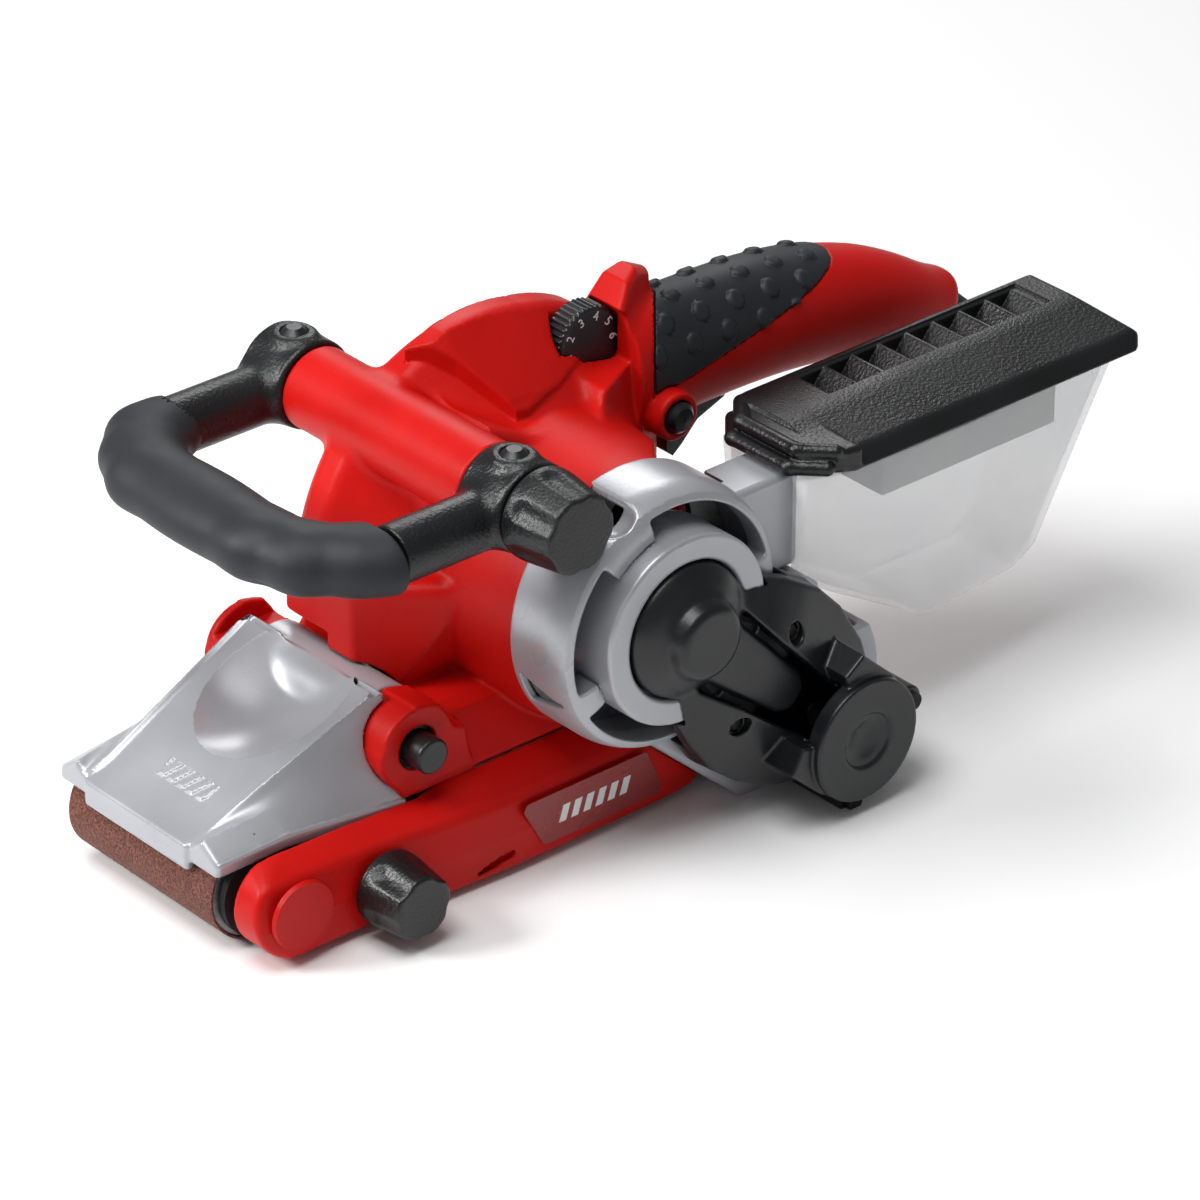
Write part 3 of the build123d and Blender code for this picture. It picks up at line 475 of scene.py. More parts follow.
RED = moulded("red_plastic", (0.54, 0.0055, 0.0035), 0.44, 0.8, 0.06, variation=0.08, specular=0.18)
SILVER = moulded("silver_lacquer", (0.43, 0.44, 0.47), 0.33, 0.7, 0.03, metal=0.35, variation=0.05)
BLACK = moulded("black_grain", (0.005, 0.0055, 0.0065), 0.36, 1.2, 0.24, variation=0.2, specular=0.5)
SATIN = moulded("black_satin", (0.0070, 0.0080, 0.0100), 0.33, 0.9, 0.05, variation=0.25, specular=0.5)
RUBBER = moulded("grip_rubber", (0.014, 0.016, 0.020), 0.56, 0.7, 0.05, variation=0.15, specular=0.4)
MATT = moulded("matt_dark", (0.008, 0.008, 0.009), 0.6, 0.8, 0.05, specular=0.3)
GRIT = make_abrasive()
CLEAR = make_clear()
STEEL = turned_steel("bare_steel", (0.55, 0.56, 0.57), 0.32)
CAST = turned_steel("bare_casting", (0.42, 0.43, 0.44), 0.55)
BRASS = turned_steel("plain_brass", (0.65, 0.48, 0.22), 0.35)
COPPER = turned_steel("winding_copper", (0.50, 0.20, 0.09), 0.4)
LABEL = moulded("label_red", (0.26, 0.004, 0.004), 0.25, 0.8, 0.004, coat=0.3)
CORK = moulded("graphite_cloth", (0.05, 0.05, 0.052), 0.8, 0.9, 0.12)
FLEECE = moulded("filter_fleece", (0.30, 0.30, 0.29), 0.9, 1.1, 0.15)
MARK_WHITE = moulded("mark_white", (0.72, 0.72, 0.72), 0.5, 0.5, 0.01)

BY_SLOT = {
    "red_shell": RED, "silver_shell": SILVER, "black_grain": BLACK, "black_satin": SATIN,
    "grip_rubber": RUBBER, "abrasive": GRIT, "clear_box": CLEAR, "steel": STEEL,
    "black_steel": MATT, "casting": CAST, "copper": COPPER, "carbon": MATT, "brass": BRASS,
    "drive_rubber": MATT, "cork": CORK, "filter_cloth": FLEECE, "dial_black": MATT, "label": LABEL,
}


def paint_cad_nodes():
    """Gives each CAD node the material of its slot in the record."""
    for row in record["subparts"]:
        mesh = frame["nodes"][row["node"]].data
        mesh.materials.clear()
        mesh.materials.append(BY_SLOT[row["material_slot"]])


paint_cad_nodes()


# ------------------------ red housing
WALL = 2.6
RIM_RADIUS = 75.0
EAR_RADIUS = 14.5           # knuckles and barrel about the hinge pin
DIAL_ROOM = 13.8            # radius of the dial's window
BELT_CLEAR = 38.3           # half width kept free for the belt
RING_CLEAR = 51.3           # radius kept free about the end ring's shoulder
BODY_STOPS = [(RING_FAR - 4, 46), (-15, 50), (10, RIM_RADIUS), (20, RIM_RADIUS), (27, 68), (46, 37),
              (54, 36), (FAR_END + 3, 27)]
REAR_WALL_X = 101.0
PANEL = [(6, 14), (17.8, 1.5), (29.2, -14.9), (34, -15.5), (50.8, -11), (64, -5), (72, -1), (79.9, 5.9),
         (76, 20)]
PANEL_RISE = 1.5
FRONT_RISE = 3.2            # extra rise of the panel towards its front tip


def rear_edge(x, y, z):
    """Slanted face that closes the near rear corner of the body and the crest."""
    return meet(side_of(x, y, z, (0.76, -0.65, 0), (REAR_WALL_X, 0, 0)), x - REAR_WALL_X, 0.5)


def motor_body(x, y, z):
    """Round body about the motor axis, with the raised panel on its near slope."""
    d = turned(x, y, z, MOTOR, BODY_STOPS, 2.0)
    patch = prism(polygon(x, y, PANEL), z, 110, 170, 0.5)
    raised = PANEL_RISE + FRONT_RISE * np.clip((52 - x) / 34, 0, 1)
    d = join(d, meet(d - raised, patch, 0.8), 0.5)
    return meet(meet(d, y - FAR_END, 3), rear_edge(x, y, z), 1.5)


def front_block(x, y, z):
    """Faceted block that carries the body on the chassis and the hinge."""
    d = meet(-37 - x, side_of(x, y, z, (-0.6, -0.8, 0), (-37, -10, 64)), 1.5)
    d = meet(d, side_of(x, y, z, (0, -0.93, -0.37), (-13, -28, 77)), 1.0)
    d = meet(d, side_of(x, y, z, (-0.6, 0.8, 0), (-37, 24, 64)), 2)
    d = meet(d, y - 38, 3)
    d = meet(d, x - 96, 3)
    d = meet(d, 40 - z, 0.5)
    return meet(d, z - 92, 6)


def shoulder(x, y, z):
    """Ledge that runs out from the block to the top of the side arm."""
    section = polygon(y, z, [(30, 40), (30, 54), (-33, 54), (-38.6, 52), (-46.2, 36), (-46.2, 34), (-30, 34)])
    return prism(section, x, -40, 80, 1.5)


def ears(x, y, z):
    """Two knuckles that hold the nose cover's hinge pin."""
    rounds = disc(x, z, HINGE, EAR_RADIUS)
    web = polygon(x, z, [(-39, 36), (-39, 64.4), (-30, 62.5), (-23, 50), (-18, 36)])
    leg = polygon(x, z, [(-52, 50), (-52, 47), (-44.5, 34), (-17, 34), (-20, 50)]) - 1.0
    section = join(join(rounds, web, 2), leg, 3)
    return np.minimum(prism(section, y, 29, 47, 1.2), prism(section, y, -46, -29, 1.2))


def cross_tube(x, y, z):
    return prism(disc(x, z, TUBE, 14.4), y, -44.5, 44.5, 1.0)


def crest(x, y, z):
    """Thin fin that rises behind the speed dial and runs down to the lock button."""
    outline = [(52, 118), (66, 138), (78, 152), (85, 159), (92, 160.5), (REAR_WALL_X, 156), (REAR_WALL_X, 98),
               (76, 90)]
    d = prism(polygon(x, z, outline) - 1.0, y, -30, 8, 3)
    near = side_of(x, y, z, (0.46, -0.88, 0.10), (REAR_WALL_X, -1.0, 130))
    d = meet(meet(d, near, 3.0), rear_edge(x, y, z), 1.0)
    window = meet(meet(disc(x, z, DIAL, DIAL_ROOM), 134 - z, 1.0), x - 82.0, 1.0)
    return cut(d, prism(window, y, -30, 6.5, 0.3), 1.0)


HANDLE_STOPS = {
    "z": [(92, 126.0), (120, 126.5), (150, 125.5), (180, 120.8), (208, 111.5), (236, 97.0)],
    "half_width": [(92, 16.0), (120, 17.0), (150, 17.5), (180, 17.5), (208, 16.5), (236, 12.5)],
    "half_height": [(92, 23.0), (120, 22.0), (150, 21.3), (180, 20.3), (208, 18.6), (236, 14.5)],
}


SQUARENESS = 2.3            # power of the handle's section; 2 would be an ellipse
HANDLE_RADIUS = 17


def handle_section(x):
    """Centre height, half width and half height of the rear handle."""
    return (eased(x, HANDLE_STOPS[k], 14) for k in HANDLE_STOPS)


def handle(x, y, z):
    """Arched rear handle, ending square to the cord gland."""
    centre_z, half_width, half_height = handle_section(x)
    across, up = np.abs(y) / half_width, np.abs(z - centre_z) / half_height
    d = ((across ** SQUARENESS + up ** SQUARENESS) ** (1 / SQUARENESS) - 1) * HANDLE_RADIUS
    d = meet(d, side_of(x, y, z, (0.8, 0, -0.6), (229, 0, 104)), 5)
    return meet(d, 82 - x, 1)


LOCK_BOSS = 8.6
RUBBER_SLOPE = 0.2423


def under_rubber(x, z):
    """Where the handle is covered by its soft overmould; negative inside."""
    line = 119 + (x - 86) * RUBBER_SLOPE - z
    back = polygon(x, z, [(60, 80), (168, 120), (184.5, 141), (187, 175), (60, 175)])
    return meet(line, back, 8)


def housing_outside(x, y, z):
    """Outer form of both housing halves together."""
    d = join(motor_body(x, y, z), front_block(x, y, z), 3)
    d = join(d, shoulder(x, y, z), 2.5)
    d = join(d, ears(x, y, z), 1.5)
    d = join(d, crest(x, y, z), 5)
    web = prism(polygon(x, z, [(-4, 108), (-10, 124), (10, 140), (40, 124)]), y, -26, 12, 3)
    d = join(d, join(cross_tube(x, y, z), web, 4), 4)
    d = join(d, handle(x, y, z), 3)
    return join(d, prism(disc(x, z, LOCK, LOCK_BOSS), y, -22, 5, 1.2), 1.5)


NOSE_SWING = 20.5           # reach of the nose cover behind its hinge


def housing(x, y, z):
    """The whole red housing as a shell with its openings."""
    outside = housing_outside(x, y, z)
    # Room for the rear edge of the nose cover when it is flipped up.
    swept = meet(disc(x, z, HINGE, NOSE_SWING), HINGE[1] + 7 - z, 0.5)
    outside = cut(outside, prism(swept, y, 3, 43.5, 0.5), 1.5)
    d = meet(outside, -outside - WALL, 0.4)
    d = bored(d, x, y, z, MOTOR, 45, RING_FAR - 8, -30, 0.4)
    belt_top = 2 * DRUM[1] + 3
    tunnel = polygon(x, z, [(-140, -5), (-140, 40.2), (DRUM[0], belt_top), (150, belt_top), (150, -5)])
    d = cut(d, prism(tunnel, y, -BELT_CLEAR, 80, 0.3), 0.4)
    # Hinge barrel, hinge pin head, lock button, dial and trigger.
    d = bored(d, x, y, z, HINGE, EAR_RADIUS + 0.8, -28.8, 28.8, 0.5)
    d = bored(d, x, y, z, HINGE, 7.6, -60, -43, 0.8)
    d = bored(d, x, y, z, LOCK, 5.9, -40, 0, 0.8)
    d = bored(d, x, y, z, DIAL, DIAL_ROOM, -4.0, 6.5, 0.6)
    d = cut(d, box(x, y, z, (99.8, -6.3, 70), (129, 6.3, 113.4), 0.5), 0.6)
    rubber = np.maximum(under_rubber(x, z), -rear_edge(x, y, z))
    return np.maximum(d, -np.maximum(rubber, LOCK_BOSS - disc(x, z, LOCK, 0)))


def halve(node, mesh, side, field):
    """Keeps one half of a mesh, cut at y = 0."""
    shape = bmesh.new()
    shape.from_mesh(mesh)
    everything = shape.verts[:] + shape.edges[:] + shape.faces[:]
    bmesh.ops.bisect_plane(
        shape, geom=everything, plane_co=(0, 0, 0), plane_no=(0, -side, 0), clear_outer=True)
    half = bpy.data.meshes.new(node + "_skin")
    shape.to_mesh(half)
    shape.free()
    points = np.empty(len(half.vertices) * 3)
    half.vertices.foreach_get("co", points)
    normals = unit_normals(field, points.reshape(-1, 3) * MM)
    half.polygons.foreach_set("use_smooth", np.ones(len(half.polygons), bool))
    half.normals_split_custom_set_from_vertices(normals.astype(np.float32))
    return half


def make_housing():
    """Near and far halves of the housing, cut from one skin."""
    (near_low, near_high), (far_low, far_high) = reach("housing_near"), reach("housing_far")
    low = [min(a, b) - 1.5 for a, b in zip(near_low, far_low)]
    high = [max(a, b) + 1.5 for a, b in zip(near_high, far_high)]
    points, quads, _ = surface(housing, low, high, 1.0)
    whole = mesh_of("housing_whole", points, quads)
    for node, side in (("housing_near", -1), ("housing_far", 1)):
        half = halve(node, whole, side, housing)
        half.materials.append(RED)
        piece = link(node + "_skin", half)
        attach(piece, body_of(node))
        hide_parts(node)
    bpy.data.meshes.remove(whole)


BUMP_PITCH = 15.2
BUMP_START = 104
BUMP_RADIUS = 3.5
BUMP_HEIGHT = 1.1
BUMP_ROWS = ((16, 0.0), (44, 0.45), (68, 0.05))     # degrees round the handle, shift in pitches


def overmould(x, y, z):
    """Soft cover of the handle's top, with rows of low round bumps."""
    outer = handle(x, y, z) - 0.5
    d = meet(outer, -outer - WALL, 0.3)
    centre_z, half_width, half_height = handle_section(x)
    turn = np.degrees(np.arctan2(np.abs(y) / half_width, (z - centre_z) / half_height))
    for angle, start in BUMP_ROWS:
        along = (x - BUMP_START - BUMP_PITCH * start + BUMP_PITCH / 2) % BUMP_PITCH - BUMP_PITCH / 2
        off = np.hypot(along, (turn - angle) * math.radians(1) * (HANDLE_RADIUS + 2))
        d = np.minimum(d, meet(outer - BUMP_HEIGHT, off - BUMP_RADIUS, 2.2))
    edge = under_rubber(x, z) + 0.6
    d = meet(d, edge, 0.8)
    d = meet(d, LOCK_BOSS + 0.5 - disc(x, z, LOCK, 0), 0.4)
    return meet(d, 0.4 - rear_edge(x, y, z), 0.6)


def make_overmould():
    """Made further forward than its CAD node, up to the crest."""
    _, near, bottom = reach("handle_overmould")[0]
    low = (REAR_WALL_X - 17, near - 1.5, bottom - 1.5)
    sculpt("handle_overmould", overmould, RUBBER, step=0.9, low=low)


make_housing()
make_overmould()


# ------------------------ red side arm
MOTOR_CASE, DRUM_CASE = 38, 37      # radii of the drive housing about its two axes


def arm_outside(x, y, z):
    """Bowed arm along the belt's near side, rounded about the roller's axle at its nose."""
    tip_top = ROLLER[1] + 16
    outline = [(ROLLER[0], 2.7), (64, 2.7), (71, 8), (78, 34), (-30, 34), (-40, 31.5), (ROLLER[0], tip_top)]
    section = join(disc(x, z, ROLLER, 16), polygon(x, z, outline), 0.5)
    face = eased(x, [(-116, -57.5), (-108, -60), (-78, -60), (-52, -61.5), (-14, -63.8), (54, -63.8),
                     (78, -61)], 6)
    lean = face + np.maximum(z - 16, 0) * 0.22
    d = meet(section, lean - y, 2.4)
    d = meet(d, y + 45.2, 1.0)
    top = side_of(x, y, z, (0, -0.45, 1), (0, -58, 29))
    return meet(d, top, 2.5)


def side_arm(x, y, z):
    """The arm with its hollow, the knob's recess and room for the drive housing."""
    d = arm_outside(x, y, z)
    hollow = prism(polygon(x, z, [(-58, 8), (60, 8), (66, 24), (-58, 24)]), y, -58.5, -40, 1)
    d = cut(d, hollow, 0.5)
    axle = hull2(x, z, (ROLLER[0] - 1, ROLLER[1]), 5, (ROLLER[0] + 8, ROLLER[1]), 5)
    d = cut(d, prism(axle, y, -57, -38, 0.3), 0.5)
    d = bored(d, x, y, z, KNOB, 18, -90, -60.4, 2.0, edge=6)
    d = bored(d, x, y, z, KNOB, 3.0, -80, -40, edge=0.2)
    case = hull2(x, z, MOTOR, MOTOR_CASE + 0.3, DRUM, DRUM_CASE + 0.3)
    d = cut(d, prism(case, y, -80, -40, 0.2), 0.5)
    slot = rod(x, y, z, (-28, -61.2, 6), (-15, -62.6, 8.6), 1.5)
    return cut(d, slot, 0.6)


sculpt("side_arm", side_arm, RED, step=0.9)


# ------------------------ silver nose cover
LIP_X = reach("nose_cover")[0][0]
PLATE_SLOPE = 0.4423
FRONT = (-108.0, 39.5)
COVER_WALL = 2.0
BELT_ROOM = 0.7
WING_STOPS = [-118, -90, -44]       # x of the wing's stops
SCOOP_MIDDLE, SCOOP_HALF, SCOOP_DEPTH = (-60.4, -1), (28.4, 25.5), 9.5
MARK_PITCH = 5.0
BARREL_BORE = 11.8


def cover_half(x):
    """Half width of the cover along its wings."""
    return 41.5 + (x + 116) * 0.058


def slanted_marks(x, y):
    """Plan of the row of embossed slanted bars; negative inside."""
    bar = np.abs((y + 0.5 * x + 58) % MARK_PITCH - MARK_PITCH / 2) - 1.4
    return np.maximum(np.maximum(bar, np.abs(y + 4) - 12), np.abs(x + 100) - 3.2)


def nose_top(x, y):
    """Height of the cover's upper surface: plate, thumb scoop, rib, steep flank and wing."""
    side = np.abs(y)
    plate = FRONT[1] + (x - FRONT[0]) * PLATE_SLOPE
    along, across = ((c - m) / half for c, m, half in zip((x, y), SCOOP_MIDDLE, SCOOP_HALF))
    scoop = np.maximum(1 - along ** 2 - across ** 2, 0) * SCOOP_DEPTH
    plate_edge = 26.4 + (x + 108) * 0.09
    flank_foot = 33.6 + (x + 106.5) * 0.105
    wing_edge = cover_half(x) - 1
    foot_z = 41.2 + (x + 106.5) * 0.103
    edge_z = np.interp(x, WING_STOPS, [35.0, 37.0, 33.0])
    rib = 1.3 * np.exp(-((side - plate_edge - 1.5) / 1.6) ** 2)
    steep = np.clip((side - plate_edge - 1.5) / (flank_foot - plate_edge - 1.5), 0, 1)
    wing = np.clip((side - flank_foot) / (wing_edge - flank_foot), 0, 1)
    plate = plate + 0.6 * np.clip(0.5 - slanted_marks(x, y) / 0.6, 0, 1)
    return plate - scoop + rib + (foot_z - plate) * steep + (edge_z - foot_z) * wing


def nose_field(x, y, z):
    """Distance above the cover's upper surface."""
    half = 0.4
    rise_x = (nose_top(x + half, y) - nose_top(x - half, y)) / (2 * half)
    rise_y = (nose_top(x, y + half) - nose_top(x, y - half)) / (2 * half)
    return (z - nose_top(x, y)) / np.sqrt(1 + rise_x ** 2 + rise_y ** 2)


def nose_outside(x, y, z):
    """Outer form of the cover."""
    d = meet(nose_field(x, y, z), np.abs(y) - cover_half(x), 1.6)
    d = meet(d, LIP_X + 1.5 - x, 2.0)
    lower = np.interp(x, WING_STOPS, [30.0, 31.6, 27.2])
    d = meet(d, lower - z, 1.2)
    d = meet(d, x + 43.5, 1.2)
    lip = polygon(x, z, [(LIP_X + 2, 28.5), (LIP_X + 2, 34.8), (FRONT[0] + 1.5, 37.0), (-100, 30)]) - 1.8
    return join(d, prism(lip, y, -27, 27, 1.5), 1.2)


def nose_cover(x, y, z):
    """Cover as a shell over the front roller, with its hinge barrel."""
    outer = nose_outside(x, y, z)
    room = meet(nose_field(x, y, z) + COVER_WALL, np.abs(y) - cover_half(x) + COVER_WALL, 0.8)
    room = meet(room, LIP_X + 1.5 + COVER_WALL - x, 0.8)
    d = cut(outer, room, 0.3)
    loop = hull2(x, z, ROLLER, ROLLER[1] + BELT_ROOM, DRUM, DRUM[1] + BELT_ROOM)
    d = cut(d, prism(loop, y, -BELT_CLEAR, BELT_CLEAR, 0.3), 0.3)
    behind = polygon(x, z, [(-39, 35), (-39, 66), (-20, 70), (-20, 35)])
    ear_room = join(disc(x, z, HINGE, EAR_RADIUS + 0.5), behind, 0.3)
    d = cut(d, prism(ear_room, np.abs(y), 28.5, 60, 0.3), 0.6)
    barrel = meet(disc(x, z, HINGE, EAR_RADIUS), -disc(x, z, HINGE, BARREL_BORE), 0.3)
    keepout = polygon(x, z, [HINGE, (-10, 80), (-10, 20), (-60, 20), (-60, 46.5), (-44, 46.5)])
    barrel = cut(barrel, keepout, 0.5)
    d = join(d, prism(barrel, y, -28.4, 28.4, 1.0), 2.0)
    d = bored(d, x, y, z, HINGE, BARREL_BORE, -28.0, 28.0, 0.4)
    lug = join(disc(x, z, HINGE, 6.4), polygon(x, z, [(-44, 47), (-36, 47), (-36, 62), (-48, 61.5)]), 1)
    d = np.minimum(d, prism(lug, np.abs(y), 22, 28.2, 0.5))
    return bored(d, x, y, z, HINGE, 3.05, -60, 60, edge=0.2)


sculpt("nose_cover", nose_cover, SILVER, step=0.7)


# ------------------------ silver motor end ring
HUB_RADIUS = 33.5
WINDOW_MIDDLE, WINDOW_HALF = 37.6, 3.9      # radius of the windows and half their width
CHAMFER = (0.75, -0.66, 0)
WINDOWS = ((14, 104), (134, 198), (212, 288))
SCREW_ANGLES = (83, 203, 323)
SCOOP_ANGLE, SCOOP_OUT = 115, 49.5
POCKET_ANGLES = (203, 323)


def sector(x, z, start, end):
    """Distance outside a wedge about the motor axis, in mm at the windows' radius."""
    angle = np.degrees(np.arctan2(z - MOTOR[1], x - MOTOR[0]))
    off = np.abs((angle - (start + end) / 2 + 180) % 360 - 180) - (end - start) / 2
    return off * math.radians(1) * 37


def ray_places(x, z, angle):
    """Distance out along a ray from the motor axis, and to its side."""
    a = math.radians(angle)
    u = (x - MOTOR[0]) * math.cos(a) + (z - MOTOR[1]) * math.sin(a)
    v = (z - MOTOR[1]) * math.cos(a) - (x - MOTOR[0]) * math.sin(a)
    return u, v


def end_ring(x, y, z):
    """Ring over the motor's near end, with windows, screw posts and a scoop at the top."""
    q = np.hypot(x - MOTOR[0], z - MOTOR[1])
    shell = prism(np.maximum(q - RING_RADIUS, 34 - q), y, -81.5, RING_FAR, 1.0)
    shell = meet(shell, side_of(q, y, 0, CHAMFER, (44.2, -80, 0)), 5)
    hub = prism(np.maximum(q - HUB_RADIUS, 24.3 - q), y, RING_NEAR, -66, 1.6)
    d = cut(shell, np.maximum(q - 43.9, -71 - y), 0.5)
    d = join(d, hub, 0.8)
    for start, end in WINDOWS:
        gap = meet(np.abs(q - WINDOW_MIDDLE) - WINDOW_HALF, sector(x, z, start, end), 1.5)
        d = cut(d, prism(gap, y, -95, -60, 0.3), 0.9)
    for angle in SCREW_ANGLES:
        u, v = ray_places(x, z, angle)
        d = join(d, prism(np.hypot(u - 40.5, v) - 4.4, y, -72, RING_FAR - 4, 0.4), 1.0)
        if angle in POCKET_ANGLES:
            pocket = polygon(v, y, [(-5.5, -58), (5.5, -58), (0, -74)]) - 1.0
            d = cut(d, np.maximum(pocket, 38.8 - u), 0.8)
    turn = math.radians(SCOOP_ANGLE)
    place = (MOTOR[0] + SCOOP_OUT * math.cos(turn), MOTOR[1] + SCOOP_OUT * math.sin(turn))
    scoop = rod(x, y, z, (place[0], -40, place[1]), (place[0], -74, place[1]), 8.0)
    d = join(d, prism(disc(x, z, place, 6.5), y, -79, RING_FAR - 1, 1.0), 0.8)
    d = cut(d, scoop, 1.2)
    band = hull2(x, z, MOTOR, 11.6, DRUM, 23.6)
    return cut(d, prism(band, y, -90, -74, 0.3), 0.6)


sculpt("end_ring", end_ring, SILVER, step=0.8)


# ------------------------ silver drive housing
def drive_housing(x, y, z):
    """Oval case round the drive belt, with a bearing boss and steps under the dust box."""
    case = hull2(x, z, MOTOR, MOTOR_CASE, DRUM, DRUM_CASE)
    near, far = reach("drive_housing")[0][1], reach("drive_housing")[1][1]
    d = prism(case, y, near, -46.5, 2.0)
    d = join(d, prism(disc(x, z, DRUM, DRUM_CASE), y, near, far, 1.0), 0.3)
    d = cut(d, prism(case + 3, y, near + 3, -30, 1.0), 0.5)
    d = join(d, prism(disc(x, z, DRUM, 17), y, near, -44, 0.5), 0.5)
    d = bored(d, x, y, z, DRUM, 13, -68, -40)
    d = bored(d, x, y, z, MOTOR, RING_RADIUS + 0.1, -95, -54, 0.4, edge=0.2)
    d = bored(d, x, y, z, MOTOR, RING_CLEAR - 0.3, -54, -30, 0.4, edge=0.2)
    d = bored(d, x, y, z, DRUM, 8, -90, -30, edge=0.2)
    d = cut(d, box(x, y, z, (60, -90, 69), (150, -30, 110), 0.5), 0.8)
    return cut(d, box(x, y, z, (108, -90, 44.5), (150, -30, 90), 0.5), 0.8)


sculpt("drive_housing", drive_housing, SILVER, step=0.9)


# ------------------------ black drive cover
def cover_places(x, z):
    """Distance along the line of axes from the motor, and distance to its side."""
    s = (x - MOTOR[0]) * ALONG[0] + (z - MOTOR[1]) * ALONG[1]
    t = (z - MOTOR[1]) * ALONG[0] - (x - MOTOR[0]) * ALONG[1]
    return s, t


WING_PLAN = [(-4, -5), (-4, 21), (12, 25), (30, 31.5), (46, 34.5), (60, 33.5), (76, 28), (88, 18), (90, -5)]


COVER_BASE_Y = -75.2
COVER_EARS = ((97.4, 19.2), (97.4, -19.2))
COVER_SCREWS = ((39, 17.5), (39, -17.5))


def cover_body(x, y, z, s, t):
    """Base plate, round nose over the pinion with its flat button, and two roof-shaped wings."""
    side = np.abs(t)
    plan = join(np.hypot(s, t) - 23.4, polygon(s, side, WING_PLAN), 4)
    lower = join(plan, np.hypot(s - LINE, t) - 25.0, 4)
    d = prism(lower, y, -82.0, COVER_BASE_Y, 2.0)
    stops = [(-101, 10.5), (-99, 12.8), (-94, 14.5), (-91.5, 19.5), (-88, 23.4), (-75, 23.6)]
    nose = meet(turned(x, y, z, MOTOR, stops, 1.2), -100.0 - y, 1.6)
    d = join(d, meet(nose, y - COVER_BASE_Y, 0.5), 2.0)
    inner = np.interp(s, [0, 10, 34, 60, 84], [19.5, 16.0, 12.5, 10.5, 8.5])
    wing = meet(polygon(s, side, WING_PLAN), inner - side, 0.3)
    wing_top = -86.0 - 11.5 * eased(s, [(0, 0), (34, 1)], 8) + 0.40 * (side - inner)
    d = join(d, meet(wing, np.maximum(wing_top - y, y - COVER_BASE_Y), 1.6), 2.0)
    # Smooth pad between the wings, narrowing towards the disc.
    pad = polygon(s, side, [(0, -5), (0, 11.5), (30, 10.5), (52, 8), (57, 4), (57, -5)])
    pad = meet(pad, (np.hypot((y + 82) * 0.9, side * 0.75) - 12.2), 2.0)
    return join(d, pad, 1.5)


def cover_disc(d, y, s, t):
    """Adds the dished disc over the drum's end, on a stem and two brackets."""
    side = np.abs(t)
    q = np.hypot(s - LINE, t)
    plate = prism(q - 22.0, y, DISC_Y, DISC_Y + 6.5, 1.0)
    dish = prism(q - 9.8, y, DISC_Y - 5, DISC_Y + 1.2, 0.8)
    hollow = np.hypot(q, y - (DISC_Y - 14.0)) - 17.2
    plate = cut(cut(plate, dish, 1.0), hollow, 0.8)
    stem = prism(q - 17.5, y, DISC_Y + 4, COVER_BASE_Y, 0.5)
    bracket = polygon(s, side, [(58, 13.5), (62, 11), (84, 11), (90, 20), (78, 23), (60, 23)])
    brackets = prism(bracket, y, DISC_Y + 3, COVER_BASE_Y, 1.0)
    d = join(d, join(stem, brackets, 1.5), 1.5)
    d = cut(d, box(s, side, y, (56, -1, -120), (69.5, 9.5, -86), 1.5), 1.0)
    return join(d, plate, 0.8)


def drive_cover(x, y, z):
    """Black cover of the drive belt, with its ears, screw holes and the room inside."""
    s, t = cover_places(x, z)
    d = cover_disc(cover_body(x, y, z, s, t), y, s, t)
    for place in COVER_EARS:
        ear = hull2(s, t, place, 4.8, (LINE, 0), 12.0)
        d = join(d, prism(ear, y, -103, COVER_BASE_Y, 0.8), 0.8)
        d = cut(d, prism(disc(s, t, place, 1.7), y, -120, -60, 0.2), 0.3)
    for place in COVER_SCREWS:
        d = cut(d, prism(disc(s, t, place, 3.6), y, -120, -92, 0.3), 0.7)
        d = cut(d, prism(disc(s, t, place, 1.7), y, -120, -60, 0.3), 0.3)
    d = cut(d, rod(s, t, y, (46.5, 33, -97), (50.5, 20, -97), 2.4), 1.0)
    d = cut(d, prism(hull2(s, t, (0, 0), 11.4, (LINE, 0), 23.4), y, -86.5, -60, 0.5), 0.5)
    # Seat on the end ring and its hub, and room for the end of the drum shaft.
    p, q = np.hypot(s, t), np.hypot(s - LINE, t)
    d = cut(d, prism(p - RING_RADIUS - 0.3, y, -83, -60, 0.3), 0.3)
    d = cut(d, prism(meet(p - 34.0, 24.0 - p, 0.3), y, -88.3, -60, 0.3), 0.4)
    return cut(d, prism(q - 16.0, y, DISC_Y + 7.5, -70, 0.5), 0.5)


sculpt("drive_cover", drive_cover, SATIN, step=0.75, grow=4)


# ------------------------ dust duct, box and lid
DUCT_LOW, DUCT_HIGH = reach("dust_duct")
BOX_LOW, BOX_HIGH = reach("dust_box")
LID_LOW, LID_HIGH = reach("dust_lid")
SLATS = 8
SLAT_PITCH = 12.4
LOUVRE_START = 139.0
LOUVRE_FAR, LOUVRE_NEAR = -30.5, -45.5
BOX_FRONT = 104.6
BOX_WALL = 1.6
DUCT_WALL = 2.2


def dust_duct(x, y, z):
    """Square tube from the motor to the dust box."""
    low = (60, DUCT_LOW[1], DUCT_LOW[2])
    d = box(x, y, z, low, (BOX_FRONT + 4, DUCT_HIGH[1], DUCT_HIGH[2]), 2.5)
    inner_low = (40, low[1] + DUCT_WALL, low[2] + DUCT_WALL)
    inner = box(x, y, z, inner_low, (200, DUCT_HIGH[1] - DUCT_WALL, DUCT_HIGH[2] - DUCT_WALL), 1.5)
    d = cut(d, inner, 0.5)
    d = bored(d, x, y, z, MOTOR, RING_CLEAR, RING_FAR, 0, edge=0.2)
    return bored(d, x, y, z, MOTOR, RING_RADIUS + 0.3, -90, RING_FAR, edge=0.2)


sculpt("dust_duct", dust_duct, SILVER, step=0.9)


